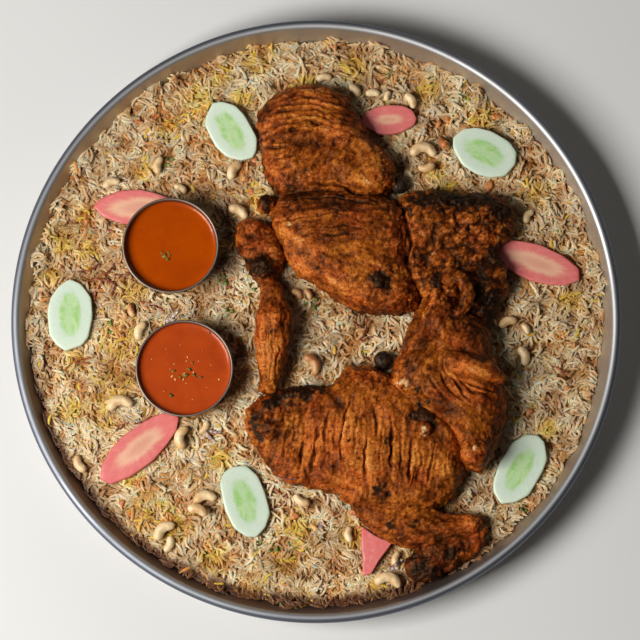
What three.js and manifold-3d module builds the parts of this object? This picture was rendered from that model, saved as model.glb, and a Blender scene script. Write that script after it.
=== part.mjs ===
// Communal platter of spiced rice with two flattened grilled chickens, two cups of sauce,
// cucumber and carrot slices, cashews and dried limes.
// Units are millimetres, +Z is up, and the origin is the middle of the platter's flat base.
// Seen from above, +X is to the right and +Y is away from the person who sits at the platter.

import * as THREE from 'three';
import { mergeVertices } from 'three/addons/utils/BufferGeometryUtils.js';
import { ImprovedNoise } from 'three/addons/math/ImprovedNoise.js';
import Module from 'manifold-3d';

const wasm = await Module();
wasm.setup();

// Driving dimensions of the platter
const PLATTER_DIAMETER = 600;
const PLATTER_HEIGHT = 45;
const PLATTER_SHEET = 1.6;
const BEAD_RADIUS = 4;
const WALL_SLOPE = THREE.MathUtils.degToRad(56);
const COVE_RADIUS = 28;
const PLATTER_SEGMENTS = 56;

// Driving dimensions of the rice
const RICE_EDGE_RADIUS = 281;
const RICE_EDGE_HEIGHT = 27;
const RICE_CENTRE_HEIGHT = 36;
const RICE_RINGS = 21;
const RICE_BUMP = 1.5;
const RICE_DIP = 1.9;
const RICE_JITTER = 2.4;
const RICE_SIDE_GAP = 2;
const RICE_SIDE_BEND_HEIGHT = 12;

// Driving dimensions of the sauce cups
const CUP_BASE_RADIUS = 36;
const CUP_SHEET = 1.2;
const CUP_LIP_RADIUS = 1.1;
const CUP_SEGMENTS = 28;
const CUP_FOOT_HEIGHT = 20;
const SAUCE_MIDDLE_RISE = 0.6;

// Clearances between pieces
const TOUCH_GAP = 0.3;
const SETTLE_GAP = 0.35;
const SAUCE_SIDE_GAP = 0.6;
const CARVE_GAP = 0.45;
const MEAT_OVER_RICE = 2.2;

// Height at which loose pieces are made before they are let down onto what lies below
const DROP_HEIGHT = 60;

// Colours read by eye from the dish
const STEEL = { color: '#b9bbbd', roughness: 0.25, metalness: 1 };
const RICE = { color: '#cdb696', roughness: 0.75, metalness: 0 };
const MEAT = { color: '#96491c', roughness: 0.55, metalness: 0 };
const SOUP = { color: '#b4510a', roughness: 0.3, metalness: 0 };
const SALSA = { color: '#b94322', roughness: 0.4, metalness: 0 };
const CUCUMBER = { color: '#d3e8d2', roughness: 0.4, metalness: 0 };
const CARROT = { color: '#de7370', roughness: 0.45, metalness: 0 };
const CASHEW = { color: '#dcc294', roughness: 0.5, metalness: 0 };
const LIME = { color: '#1d1613', roughness: 0.6, metalness: 0 };

const noise = new ImprovedNoise();

// A repeatable draw between -1 and 1 for the item with this number.
function draw(number, salt = 0) {
  const wave = Math.sin(number * 127.1 + salt * 311.7 + 17.3) * 43758.5453;
  return (wave - Math.floor(wave)) * 2 - 1;
}

// A plain mesh geometry from corner points and triples of corner numbers.
function meshFrom(corners, triangles) {
  const geometry = new THREE.BufferGeometry();
  geometry.setAttribute('position', new THREE.Float32BufferAttribute(corners.flat(), 3));
  geometry.setIndex(triangles.flat());
  return geometry;
}

// Only merged corner positions are left on the geometry.
function bareGeometry(geometry) {
  const bare = geometry.clone();
  bare.deleteAttribute('normal');
  bare.deleteAttribute('uv');
  return mergeVertices(bare, 1e-4);
}

function solidFrom(geometry) {
  const bare = bareGeometry(geometry);
  return new wasm.Manifold(new wasm.Mesh({
    numProp: 3,
    vertProperties: new Float32Array(bare.attributes.position.array),
    triVerts: new Uint32Array(bare.index.array),
  }));
}

function geometryFrom(solid) {
  const result = solid.getMesh();
  const geometry = new THREE.BufferGeometry();
  geometry.setAttribute('position', new THREE.BufferAttribute(result.vertProperties.slice(), 3));
  geometry.setIndex(Array.from(result.triVerts));
  return geometry;
}

// The largest single body of a solid, without loose scraps.
function largestBody(solid) {
  const bodies = solid.decompose();
  bodies.sort((one, other) => other.volume() - one.volume());
  return bodies[0];
}

// A solid turned about the Z axis from a profile of [radius, height] pairs.
function turned(profile, segments) {
  const points = profile.map(([radius, height]) => new THREE.Vector2(radius, height));
  const geometry = new THREE.LatheGeometry(points, segments);
  geometry.rotateX(Math.PI / 2);
  return geometry;
}

// Points on an arc in a profile, from one angle to another, both in degrees.
function arcPoints(centreRadius, centreHeight, radius, fromAngle, toAngle, steps) {
  const points = [];
  for (let step = 0; step <= steps; step += 1) {
    const angle = THREE.MathUtils.degToRad(fromAngle + (toAngle - fromAngle) * step / steps);
    points.push([centreRadius + radius * Math.cos(angle), centreHeight + radius * Math.sin(angle)]);
  }
  return points;
}

// Platter: flat base, rounded cove, sloping wall and a rolled bead
const beadCentreRadius = PLATTER_DIAMETER / 2 - BEAD_RADIUS;
const beadCentreHeight = PLATTER_HEIGHT - BEAD_RADIUS;
const wallTopRadius = beadCentreRadius - BEAD_RADIUS * 0.75;
const coveTopHeight = PLATTER_SHEET + COVE_RADIUS * (1 - Math.cos(WALL_SLOPE));
const coveTopRadius = wallTopRadius - (beadCentreHeight - coveTopHeight) / Math.tan(WALL_SLOPE);
const flatRadius = coveTopRadius - COVE_RADIUS * Math.sin(WALL_SLOPE);

function platterGeometry() {
  const slopeDegrees = THREE.MathUtils.radToDeg(WALL_SLOPE);
  const coveCentre = PLATTER_SHEET + COVE_RADIUS;
  const outerCove = arcPoints(flatRadius, coveCentre, COVE_RADIUS + PLATTER_SHEET, -90, slopeDegrees - 90, 2);
  const innerCove = arcPoints(flatRadius, coveCentre, COVE_RADIUS, slopeDegrees - 90, -90, 3);
  const bead = arcPoints(beadCentreRadius, beadCentreHeight, BEAD_RADIUS, -90, 180, 6);
  return turned([[0, 0], ...outerCove, ...bead, ...innerCove, [0, PLATTER_SHEET]], PLATTER_SEGMENTS);
}

// Radius of the platter's inner face at a height.
function innerRadiusAt(height) {
  if (height >= coveTopHeight) {
    return coveTopRadius + (height - coveTopHeight) / Math.tan(WALL_SLOPE);
  }
  const drop = COVE_RADIUS - (height - PLATTER_SHEET);
  return flatRadius + Math.sqrt(Math.max(0, COVE_RADIUS ** 2 - drop ** 2));
}

// Height of the smooth rice mound, without its bumps.
function moundHeight(x, y) {
  const share = Math.hypot(x, y) / RICE_EDGE_RADIUS;
  return RICE_CENTRE_HEIGHT - (RICE_CENTRE_HEIGHT - RICE_EDGE_HEIGHT) * share * share;
}

// Rice: rings of bumps as large as grains on the mound, out to an uneven edge
function riceGeometry() {
  const corners = [[0, 0, RICE_CENTRE_HEIGHT]];
  const triangles = [];
  const ringStart = [0];
  for (let ring = 1; ring <= RICE_RINGS; ring += 1) {
    ringStart.push(corners.length);
    const count = ring * 6;
    const isEdge = ring === RICE_RINGS;
    for (let place = 0; place < count; place += 1) {
      const number = corners.length;
      const jitter = isEdge ? 0 : RICE_JITTER;
      const angle = (place / count) * Math.PI * 2;
      const radius = (ring / RICE_RINGS) * RICE_EDGE_RADIUS;
      const unevenEdge = isEdge ? 1.5 * draw(number, 3) - 1.5 : 0;
      const x = (radius + unevenEdge) * Math.cos(angle) + jitter * draw(number, 1);
      const y = (radius + unevenEdge) * Math.sin(angle) + jitter * draw(number, 2);
      const lift = draw(number, 4);
      const bump = lift > 0 ? lift * RICE_BUMP : lift * RICE_DIP;
      corners.push([x, y, moundHeight(x, y) + bump]);
    }
  }
  for (let ring = 1; ring <= RICE_RINGS; ring += 1) {
    joinRings(triangles, ring, ringStart[ring - 1], ringStart[ring]);
  }
  closeRiceBelow(corners, triangles, ringStart[RICE_RINGS], RICE_RINGS * 6);
  return meshFrom(corners, triangles);
}

// Triangles between two rings about the middle, of which the outer has six corners more.
function joinRings(triangles, ring, inner, outer) {
  const outerCount = ring * 6;
  const innerCount = Math.max(1, (ring - 1) * 6);
  for (let side = 0; side < 6; side += 1) {
    for (let step = 0; step < ring; step += 1) {
      const outerPlace = side * ring + step;
      const innerPlace = (side * (ring - 1) + step) % innerCount;
      const outerNext = (outerPlace + 1) % outerCount;
      triangles.push([outer + outerPlace, outer + outerNext, inner + innerPlace]);
      if (step < ring - 1) {
        const innerNext = (innerPlace + 1) % innerCount;
        triangles.push([inner + innerPlace, outer + outerNext, inner + innerNext]);
      }
    }
  }
}

// The rice's side follows the platter's cove down to a flat underside.
function closeRiceBelow(corners, triangles, edgeStart, count) {
  const bottomHeight = PLATTER_SHEET + TOUCH_GAP;
  const sideRings = [
    [innerRadiusAt(RICE_SIDE_BEND_HEIGHT) - RICE_SIDE_GAP, RICE_SIDE_BEND_HEIGHT],
    [flatRadius - RICE_SIDE_GAP / 2, bottomHeight],
  ];
  let upperStart = edgeStart;
  for (const [radius, height] of sideRings) {
    const lowerStart = corners.length;
    for (let place = 0; place < count; place += 1) {
      const angle = (place / count) * Math.PI * 2;
      corners.push([radius * Math.cos(angle), radius * Math.sin(angle), height]);
    }
    for (let place = 0; place < count; place += 1) {
      const next = (place + 1) % count;
      triangles.push([upperStart + place, lowerStart + place, lowerStart + next]);
      triangles.push([upperStart + place, lowerStart + next, upperStart + next]);
    }
    upperStart = lowerStart;
  }
  const middle = corners.length;
  corners.push([0, 0, bottomHeight]);
  for (let place = 0; place < count; place += 1) {
    triangles.push([upperStart + (place + 1) % count, upperStart + place, middle]);
  }
}

// The ground map keeps the highest surface seen from above, so that loose pieces can settle on it.
const MAP_CELL = 1.5;
const MAP_SIDE = Math.ceil(PLATTER_DIAMETER / MAP_CELL);
const groundMap = new Float32Array(MAP_SIDE * MAP_SIDE).fill(-1000);

// Calls visit(cell number, height) for each map cell that lies under a triangle of the geometry.
function visitCells(geometry, visit) {
  const position = geometry.attributes.position;
  const index = geometry.index;
  const corner = [new THREE.Vector3(), new THREE.Vector3(), new THREE.Vector3()];
  const half = PLATTER_DIAMETER / 2;
  for (let start = 0; start < index.count; start += 3) {
    corner.forEach((point, step) => point.fromBufferAttribute(position, index.getX(start + step)));
    const [a, b, c] = corner;
    const area = (b.x - a.x) * (c.y - a.y) - (c.x - a.x) * (b.y - a.y);
    if (Math.abs(area) < 1e-6) {
      continue;
    }
    const firstColumn = Math.floor((Math.min(a.x, b.x, c.x) + half) / MAP_CELL);
    const lastColumn = Math.ceil((Math.max(a.x, b.x, c.x) + half) / MAP_CELL);
    const firstRow = Math.floor((Math.min(a.y, b.y, c.y) + half) / MAP_CELL);
    const lastRow = Math.ceil((Math.max(a.y, b.y, c.y) + half) / MAP_CELL);
    for (let row = firstRow; row <= lastRow; row += 1) {
      for (let column = firstColumn; column <= lastColumn; column += 1) {
        const x = column * MAP_CELL - half;
        const y = row * MAP_CELL - half;
        const shareB = ((x - a.x) * (c.y - a.y) - (c.x - a.x) * (y - a.y)) / area;
        const shareC = ((b.x - a.x) * (y - a.y) - (x - a.x) * (b.y - a.y)) / area;
        if (shareB >= 0 && shareC >= 0 && shareB + shareC <= 1) {
          visit(row * MAP_SIDE + column, a.z + shareB * (b.z - a.z) + shareC * (c.z - a.z));
        }
      }
    }
  }
}

// A piece also counts one cell beyond its sides, which keeps the next piece off them.
function addToGround(geometry) {
  visitCells(geometry, (cell, height) => {
    for (const step of [0, 1, -1, MAP_SIDE, -MAP_SIDE]) {
      groundMap[cell + step] = Math.max(groundMap[cell + step], height);
    }
  });
}

// How far a piece drops until it is a small gap above the ground.
function dropOf(geometry) {
  let nearest = Infinity;
  visitCells(geometry, (cell, height) => {
    nearest = Math.min(nearest, height - groundMap[cell]);
  });
  return nearest - SETTLE_GAP;
}

// A closed smooth outline through a few points, as evenly spaced [x, y] pairs.
function smoothOutline(points, count) {
  const curve = new THREE.CatmullRomCurve3(
    points.map(([x, y]) => new THREE.Vector3(x, y, 0)), true, 'centripetal');
  const outline = curve.getSpacedPoints(count).slice(0, count).map((point) => [point.x, point.y]);
  return signedArea(outline) > 0 ? outline : outline.reverse();
}

// Area inside an outline, above zero where its points run anticlockwise.
function signedArea(outline) {
  return outline.reduce((sum, [x1, y1], place) => {
    const [x2, y2] = outline[(place + 1) % outline.length];
    return sum + (x1 * y2 - x2 * y1) / 2;
  }, 0);
}

function middleOf(points) {
  const sum = points.reduce(([x, y], point) => [x + point[0], y + point[1]], [0, 0]);
  return [sum[0] / points.length, sum[1] / points.length];
}

// Distance from a place to a closed outline.
function distanceToOutline(x, y, outline) {
  let nearest = Infinity;
  outline.forEach(([x1, y1], place) => {
    const [x2, y2] = outline[(place + 1) % outline.length];
    const along = ((x - x1) * (x2 - x1) + (y - y1) * (y2 - y1)) / ((x2 - x1) ** 2 + (y2 - y1) ** 2);
    const share = THREE.MathUtils.clamp(along, 0, 1);
    nearest = Math.min(nearest, Math.hypot(x - x1 - share * (x2 - x1), y - y1 - share * (y2 - y1)));
  });
  return nearest;
}

function isInside(x, y, outline) {
  let inside = false;
  outline.forEach(([x1, y1], place) => {
    const [x2, y2] = outline[(place + 1) % outline.length];
    if ((y1 > y) !== (y2 > y) && x < x1 + (x2 - x1) * (y - y1) / (y2 - y1)) {
      inside = !inside;
    }
  });
  return inside;
}

// Meat: flat-lying slabs with round shoulders, joined with knobs and bones
const SLAB_SIDES = 20;
const SLAB_RINGS = [0, 0.07, 0.2, 0.48];
const SLAB_EDGE_RISE = 8;
const SLAB_DEPTH = 5;
const SLAB_UNDERCUT = 0.12;
const ROD_TIP_SHARE = 0.6;
const SLASH_RAISE = 6;
const FLOOR_RINGS = 6;

function meatFloor(x, y) {
  return moundHeight(x, y) + MEAT_OVER_RICE;
}

// Height of a slab's top: a round shoulder at its edge, then a gently uneven plateau.
function slabTop(slab, x, y, edgeDistance) {
  const shoulder = Math.min(edgeDistance / slab.shoulder, 1);
  const rise = Math.sqrt(1 - (1 - shoulder) ** 2);
  const unevenness = slab.rough * noise.noise(x / slab.grain, y / slab.grain, slab.height);
  const plateau = slab.height + unevenness * 2;
  return meatFloor(x, y) + SLAB_EDGE_RISE + (plateau - SLAB_EDGE_RISE) * rise;
}

function slabOutline(slab) {
  return smoothOutline(slab.outline, SLAB_SIDES).map(([x, y]) => {
    const wobble = slab.rough * noise.noise(x / slab.grain, y / slab.grain, 7);
    const [middleX, middleY] = middleOf(slab.outline);
    const reach = Math.hypot(x - middleX, y - middleY);
    return [x + (x - middleX) / reach * wobble, y + (y - middleY) / reach * wobble];
  });
}

// One slab, or the same slab grown by a clearance on all sides.
function slabSolid(slab, grow = 0) {
  const outline = slabOutline(slab);
  const [middleX, middleY] = middleOf(outline);
  const corners = [];
  const triangles = [];
  const addRing = (inset, heightAt) => {
    outline.forEach(([x, y]) => {
      const reach = Math.hypot(x - middleX, y - middleY);
      const scale = (1 - inset) * (1 + grow / reach);
      const placeX = middleX + (x - middleX) * scale;
      const placeY = middleY + (y - middleY) * scale;
      corners.push([placeX, placeY, heightAt(placeX, placeY)]);
    });
  };
  addRing(SLAB_UNDERCUT, (x, y) => meatFloor(x, y) - SLAB_DEPTH);
  SLAB_RINGS.forEach((inset) => {
    addRing(inset, (x, y) => {
      const edgeDistance = inset === 0 ? 0 : distanceToOutline(x, y, outline);
      return slabTop(slab, x, y, edgeDistance) + grow;
    });
  });
  const ringCount = SLAB_RINGS.length;
  for (let ring = 0; ring < ringCount; ring += 1) {
    for (let place = 0; place < SLAB_SIDES; place += 1) {
      const next = (place + 1) % SLAB_SIDES;
      const lower = ring * SLAB_SIDES;
      const upper = lower + SLAB_SIDES;
      triangles.push([lower + place, lower + next, upper + next]);
      triangles.push([lower + place, upper + next, upper + place]);
    }
  }
  const bottomMiddle = corners.length;
  corners.push([middleX, middleY, meatFloor(middleX, middleY) - SLAB_DEPTH]);
  const middleDistance = distanceToOutline(middleX, middleY, outline);
  corners.push([middleX, middleY, slabTop(slab, middleX, middleY, middleDistance) + grow]);
  for (let place = 0; place < SLAB_SIDES; place += 1) {
    const next = (place + 1) % SLAB_SIDES;
    triangles.push([next, place, bottomMiddle]);
    triangles.push([ringCount * SLAB_SIDES + place, ringCount * SLAB_SIDES + next, bottomMiddle + 1]);
  }
  return solidFrom(meshFrom(corners, triangles));
}

// A rod of changing radius through a list of [x, y, height above the rice, radius] stations.
function rodSolid(stations, sides, grow = 0) {
  const centres = stations.map(([x, y, rise]) => new THREE.Vector3(x, y, meatFloor(x, y) + rise));
  const curve = new THREE.CatmullRomCurve3(centres, false, 'centripetal');
  const corners = [];
  const triangles = [];
  const steps = stations.length - 1;
  const up = new THREE.Vector3(0, 0, 1);
  for (let step = 0; step <= steps; step += 1) {
    const centre = centres[step];
    const tangent = curve.getTangent(step / steps);
    const across = new THREE.Vector3().crossVectors(up, tangent).normalize();
    const over = new THREE.Vector3().crossVectors(tangent, across).normalize();
    for (let side = 0; side < sides; side += 1) {
      const angle = (side / sides) * Math.PI * 2;
      const radius = (stations[step][3] + grow) * (1 + 0.06 * draw(side + step * sides, 5));
      const point = centre.clone();
      point.addScaledVector(across, radius * Math.cos(angle));
      point.addScaledVector(over, radius * Math.sin(angle));
      corners.push(point.toArray());
    }
  }
  for (let step = 0; step < steps; step += 1) {
    for (let side = 0; side < sides; side += 1) {
      const next = (side + 1) % sides;
      const near = step * sides;
      const far = near + sides;
      triangles.push([near + side, near + next, far + next]);
      triangles.push([near + side, far + next, far + side]);
    }
  }
  const tipReach = (step) => (stations[step][3] + grow) * ROD_TIP_SHARE;
  const firstTip = centres[0].clone().addScaledVector(curve.getTangent(0), -tipReach(0));
  const lastTip = centres[steps].clone().addScaledVector(curve.getTangent(1), tipReach(steps));
  corners.push(firstTip.toArray(), lastTip.toArray());
  const last = steps * sides;
  for (let side = 0; side < sides; side += 1) {
    const next = (side + 1) % sides;
    triangles.push([next, side, last + sides]);
    triangles.push([last + side, last + next, last + sides + 1]);
  }
  return solidFrom(meshFrom(corners, triangles));
}

// A rough knob of meat or bone, standing on or in the slabs.
function knobSolid(knob, grow = 0) {
  const ball = bareGeometry(new THREE.SphereGeometry(1, 8, 5));
  const position = ball.attributes.position;
  const centreHeight = meatFloor(knob.x, knob.y) + knob.rise;
  for (let number = 0; number < position.count; number += 1) {
    const wobble = 1 + 0.1 * draw(number, knob.x);
    const radius = (knob.radius + grow) * wobble;
    position.setXYZ(
      number,
      knob.x + position.getX(number) * radius * (knob.stretch ?? 1),
      knob.y + position.getY(number) * radius,
      centreHeight + position.getZ(number) * radius * (knob.squash ?? 1),
    );
  }
  return solidFrom(ball);
}

// A slash or crease: a thin wedge along a line on top of the meat, as a solid to cut away.
function slashSolid(slash, topAt) {
  const stations = slash.line.map(([x, y]) => new THREE.Vector3(x, y, 0));
  const curve = new THREE.CatmullRomCurve3(stations, false, 'centripetal');
  const steps = stations.length;
  const corners = [];
  const triangles = [];
  for (let step = 0; step <= steps; step += 1) {
    const share = step / steps;
    const point = curve.getPoint(share);
    const tangent = curve.getTangent(share);
    const taper = 0.35 + 0.65 * Math.sin(Math.PI * share);
    const surface = topAt(point.x, point.y);
    const halfMouth = slash.width / 2 * taper * (1 + SLASH_RAISE / slash.depth);
    const sideX = -tangent.y * halfMouth;
    const sideY = tangent.x * halfMouth;
    corners.push([point.x + sideX, point.y + sideY, surface + SLASH_RAISE]);
    corners.push([point.x - sideX, point.y - sideY, surface + SLASH_RAISE]);
    corners.push([point.x, point.y, surface - slash.depth * taper]);
  }
  for (let step = 0; step < steps; step += 1) {
    for (let side = 0; side < 3; side += 1) {
      const next = (side + 1) % 3;
      const near = step * 3;
      const far = near + 3;
      triangles.push([near + side, near + next, far + next]);
      triangles.push([near + side, far + next, far + side]);
    }
  }
  const last = steps * 3;
  triangles.push([0, 2, 1], [last, last + 1, last + 2]);
  return solidFrom(meshFrom(corners, triangles));
}

// A chicken: all its slabs, rods and knobs as one body, with its slashes cut in.
function chickenSolid(chicken, grow = 0) {
  const pieces = [
    ...chicken.slabs.map((slab) => slabSolid(slab, grow)),
    ...chicken.rods.map((rod) => rodSolid(rod.stations, rod.sides, grow)),
    ...chicken.knobs.map((knob) => knobSolid(knob, grow)),
  ];
  return pieces.reduce((whole, piece) => whole.add(piece));
}

// Everything under the meat: the mound, a little higher than the rice's tallest bumps.
function meatBedSolid() {
  const corners = [[0, 0, meatFloor(0, 0)]];
  const triangles = [];
  let innerStart = 0;
  for (let ring = 1; ring <= FLOOR_RINGS; ring += 1) {
    const outerStart = corners.length;
    const count = ring * 6;
    for (let place = 0; place < count; place += 1) {
      const angle = (place / count) * Math.PI * 2;
      const radius = (ring / FLOOR_RINGS) * (RICE_EDGE_RADIUS + 10);
      const x = radius * Math.cos(angle);
      const y = radius * Math.sin(angle);
      corners.push([x, y, meatFloor(x, y)]);
    }
    joinRings(triangles, ring, innerStart, outerStart);
    innerStart = outerStart;
  }
  const bottom = corners.length;
  corners.push([0, 0, 0]);
  const count = FLOOR_RINGS * 6;
  for (let place = 0; place < count; place += 1) {
    triangles.push([innerStart + (place + 1) % count, innerStart + place, bottom]);
  }
  return solidFrom(meshFrom(corners, triangles));
}

// Height of the highest slab of a chicken at a place.
function chickenTopAt(chicken, outlines, x, y) {
  let top = meatFloor(x, y);
  chicken.slabs.forEach((slab, number) => {
    if (isInside(x, y, outlines[number])) {
      top = Math.max(top, slabTop(slab, x, y, distanceToOutline(x, y, outlines[number])));
    }
  });
  return top;
}

function slashedChicken(chicken) {
  const outlines = chicken.slabs.map(slabOutline);
  const topAt = (x, y) => chickenTopAt(chicken, outlines, x, y);
  return chicken.slashes.reduce(
    (meat, slash) => meat.subtract(slashSolid(slash, topAt)), chickenSolid(chicken));
}

// Slashes that run side by side, from the first line down to the last.
function parallelSlashes({ left, right, arch, spacing, count, width, depth }) {
  const slashes = [];
  for (let number = 0; number < count; number += 1) {
    const drop = number * spacing;
    const shift = 4 * draw(number, 8);
    slashes.push({
      width,
      depth,
      line: [
        [left[0] + shift, left[1] - drop],
        [(left[0] + right[0]) / 2, (left[1] + right[1]) / 2 + arch - drop],
        [right[0] + shift, right[1] - drop],
      ],
    });
  }
  return slashes;
}

// The upper chicken: a slashed breast, the middle breast, a charred back and one leg
const UPPER_CHICKEN = {
  slabs: [
    {
      height: 30, shoulder: 26, rough: 1.6, grain: 24,
      outline: [[-45, 219], [-24, 233], [-2, 235], [21, 230], [35, 219], [41, 202], [57, 178], [79, 151],
        [76, 126], [33, 119], [-16, 119], [-45, 129], [-52, 151], [-55, 176], [-61, 199]],
    },
    {
      height: 34, shoulder: 26, rough: 1.6, grain: 24,
      outline: [[-46, 104], [-37, 121], [2, 132], [61, 122], [86, 112], [94, 85], [91, 63], [101, 25],
        [99, 8], [79, 1], [50, 4], [24, 13], [-6, 38], [-25, 50], [-39, 76]],
    },
    {
      height: 25, shoulder: 16, rough: 3.4, grain: 13,
      outline: [[80, 122], [101, 127], [138, 126], [178, 123], [195, 116], [198, 90], [179, 66], [190, 44],
        [188, 27], [178, 3], [161, -1], [131, 11], [100, 22], [84, 50], [80, 80]],
    },
    {
      height: 25, shoulder: 13, rough: 3, grain: 11,
      outline: [[-79, 90], [-70, 99], [-56, 97], [-46, 90], [-34, 78], [-31, 62], [-38, 44], [-46, 32],
        [-57, 36], [-66, 47], [-71, 62], [-79, 74]],
    },
  ],
  rods: [
    {
      sides: 10,
      stations: [[-46, 34, 12, 9], [-42, 16, 14, 12], [-41, -1, 18, 17.5], [-42, -24, 17, 16.5],
        [-44, -48, 14, 13], [-46, -64, 11, 9], [-47, -71, 10, 8]],
    },
  ],
  knobs: [
    { x: -52, y: 50, radius: 12, rise: 19 },
    { x: -49, y: 115, radius: 9, rise: 9 },
    { x: 62, y: 33, radius: 10, rise: 27 },
  ],
  slashes: [
    ...parallelSlashes({
      left: [-46, 218], right: [37, 214], arch: 6, spacing: 7, count: 6, width: 3, depth: 4.5,
    }),
    { width: 3, depth: 4, line: [[-42, 90], [-6, 103], [30, 104], [70, 97]] },
    { width: 3, depth: 4, line: [[-36, 82], [2, 93], [40, 95], [80, 86]] },
    { width: 2.5, depth: 3.5, line: [[-26, 72], [6, 80], [42, 80]] },
    { width: 3, depth: 4, line: [[-48, 168], [-38, 167], [-26, 169]] },
    { width: 3, depth: 4, line: [[-47, 158], [-36, 157], [-25, 159]] },
  ],
};

// The lower chicken: a breast with upright slashes, a folded leg over it and a wing below
const LOWER_CHICKEN = {
  slabs: [
    {
      height: 24, shoulder: 20, rough: 2.6, grain: 17,
      outline: [[-68, -91], [-58, -81], [-40, -72], [-2, -66], [19, -79], [16, -119], [9, -154], [-10, -165],
        [-32, -161], [-49, -141], [-64, -119]],
    },
    {
      height: 32, shoulder: 26, rough: 1.8, grain: 22,
      outline: [[-11, -71], [20, -64], [29, -50], [49, -47], [64, -52], [84, -64], [112, -82], [136, -106],
        [149, -132], [144, -161], [126, -185], [107, -193], [77, -199], [48, -194], [24, -176], [-10, -165],
        [-16, -129]],
    },
    {
      height: 21, shoulder: 15, rough: 1.8, grain: 17,
      outline: [[19, -167], [63, -169], [107, -182], [126, -195], [159, -192], [167, -199], [162, -211],
        [146, -220], [122, -225], [97, -226], [77, -223], [57, -212], [41, -194], [29, -179]],
    },
    {
      height: 38, shoulder: 22, rough: 2.2, grain: 20,
      outline: [[115, 33], [123, 37], [130, 28], [141, 8], [154, 4], [167, -6], [174, -30], [165, -60],
        [130, -70], [100, -60], [84, -40], [86, -26], [92, -7], [101, 13]],
    },
    {
      height: 41, shoulder: 24, rough: 1.8, grain: 22,
      outline: [[84, -30], [75, -45], [74, -60], [76, -80], [90, -88], [107, -96], [124, -106], [137, -120],
        [143, -137], [150, -156], [157, -157], [168, -145], [179, -124], [189, -100], [186, -79],
        [184, -54], [176, -38], [150, -25], [115, -20]],
    },
    {
      height: 15, shoulder: 11, rough: 1.6, grain: 14,
      outline: [[86, -243], [96, -229], [117, -219], [150, -209], [165, -203], [168, -211], [159, -227],
        [143, -240], [116, -256], [101, -261], [90, -256]],
    },
  ],
  rods: [
    {
      sides: 8,
      stations: [[128, 33, 27, 7], [135, 38, 30, 6.5], [143, 36, 31, 6.5], [148, 29, 31, 6.5],
        [148, 19, 31, 6.5], [144, 8, 30, 7], [138, 0, 27, 7]],
    },
    {
      sides: 8,
      stations: [[124, -44, 37, 8], [146, -47, 39, 9.5], [166, -54, 36, 9.5], [178, -64, 27, 8.5]],
    },
  ],
  knobs: [
    { x: 155, y: -134, radius: 14, rise: 31 },
    { x: 107, y: -112, radius: 6, rise: 33 },
    { x: 152, y: -203, radius: 9, rise: 15 },
  ],
  slashes: [
    { width: 3.5, depth: 5, line: [[-12, -108], [-14, -132], [-17, -156]] },
    { width: 3.5, depth: 5, line: [[1, -116], [-2, -138], [-4, -158]] },
    { width: 4, depth: 6.5, line: [[36, -80], [28, -104], [25, -128], [31, -150]] },
    { width: 4, depth: 6.5, line: [[51, -112], [49, -138], [48, -165]] },
    { width: 3.5, depth: 5, line: [[62, -66], [60, -82], [59, -97]] },
    { width: 4, depth: 6, line: [[74, -98], [74, -128], [72, -160]] },
    { width: 4, depth: 6.5, line: [[94, -126], [92, -148], [88, -172]] },
    { width: 4, depth: 6, line: [[113, -128], [111, -148], [106, -172]] },
    { width: 3.5, depth: 5, line: [[124, -134], [126, -152]] },
    { width: 4, depth: 6, line: [[130, -66], [150, -74], [180, -84]] },
    { width: 4, depth: 5, line: [[122, -50], [124, -68], [140, -82], [154, -92]] },
  ],
};

// Cups: thin steel bowls that taper to their feet and end in a rolled lip
const CUPS = [
  { x: -143, y: 70, lipRadius: 48, height: 44, emptyHeight: 8.5 },
  { x: -129, y: -52, lipRadius: 48.5, height: 44, emptyHeight: 6 },
];

function cupRadiusAt(cup, rise) {
  const straightLip = cup.lipRadius - CUP_LIP_RADIUS;
  const share = rise / cup.height;
  return CUP_BASE_RADIUS + (straightLip - CUP_BASE_RADIUS) * Math.sin(share * Math.PI / 2) ** 0.8;
}

function cupWall(cup, fromRise, toRise, steps, offset) {
  const points = [];
  for (let step = 0; step <= steps; step += 1) {
    const rise = fromRise + (toRise - fromRise) * step / steps;
    points.push([cupRadiusAt(cup, rise) + offset, CUP_FOOT_HEIGHT + rise]);
  }
  return points;
}

function cupGeometry(cup) {
  const lipRise = cup.height - CUP_LIP_RADIUS;
  const lipRadius = cup.lipRadius - CUP_LIP_RADIUS;
  const lip = arcPoints(lipRadius, CUP_FOOT_HEIGHT + lipRise, CUP_LIP_RADIUS, -60, 180, 2);
  const wallRise = lipRise - CUP_LIP_RADIUS * 2;
  const outer = cupWall(cup, 0, wallRise, 2, 0);
  const inner = cupWall(cup, wallRise, CUP_SHEET, 2, -CUP_SHEET);
  const profile = [[0, CUP_FOOT_HEIGHT], ...outer, ...lip, ...inner, [0, CUP_FOOT_HEIGHT + CUP_SHEET]];
  return turned(profile, CUP_SEGMENTS).translate(cup.x, cup.y, 0);
}

// The filled outside of a cup with a clearance, for cutting its neighbours.
function cupClearance(cup) {
  const outer = cupWall(cup, 0, cup.height, 4, CARVE_GAP);
  const profile = [[0, CUP_FOOT_HEIGHT - CARVE_GAP], [outer[0][0], CUP_FOOT_HEIGHT - CARVE_GAP],
    ...outer.slice(1), [0, CUP_FOOT_HEIGHT + cup.height]];
  return solidFrom(turned(profile, CUP_SEGMENTS).translate(cup.x, cup.y, 0));
}

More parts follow.
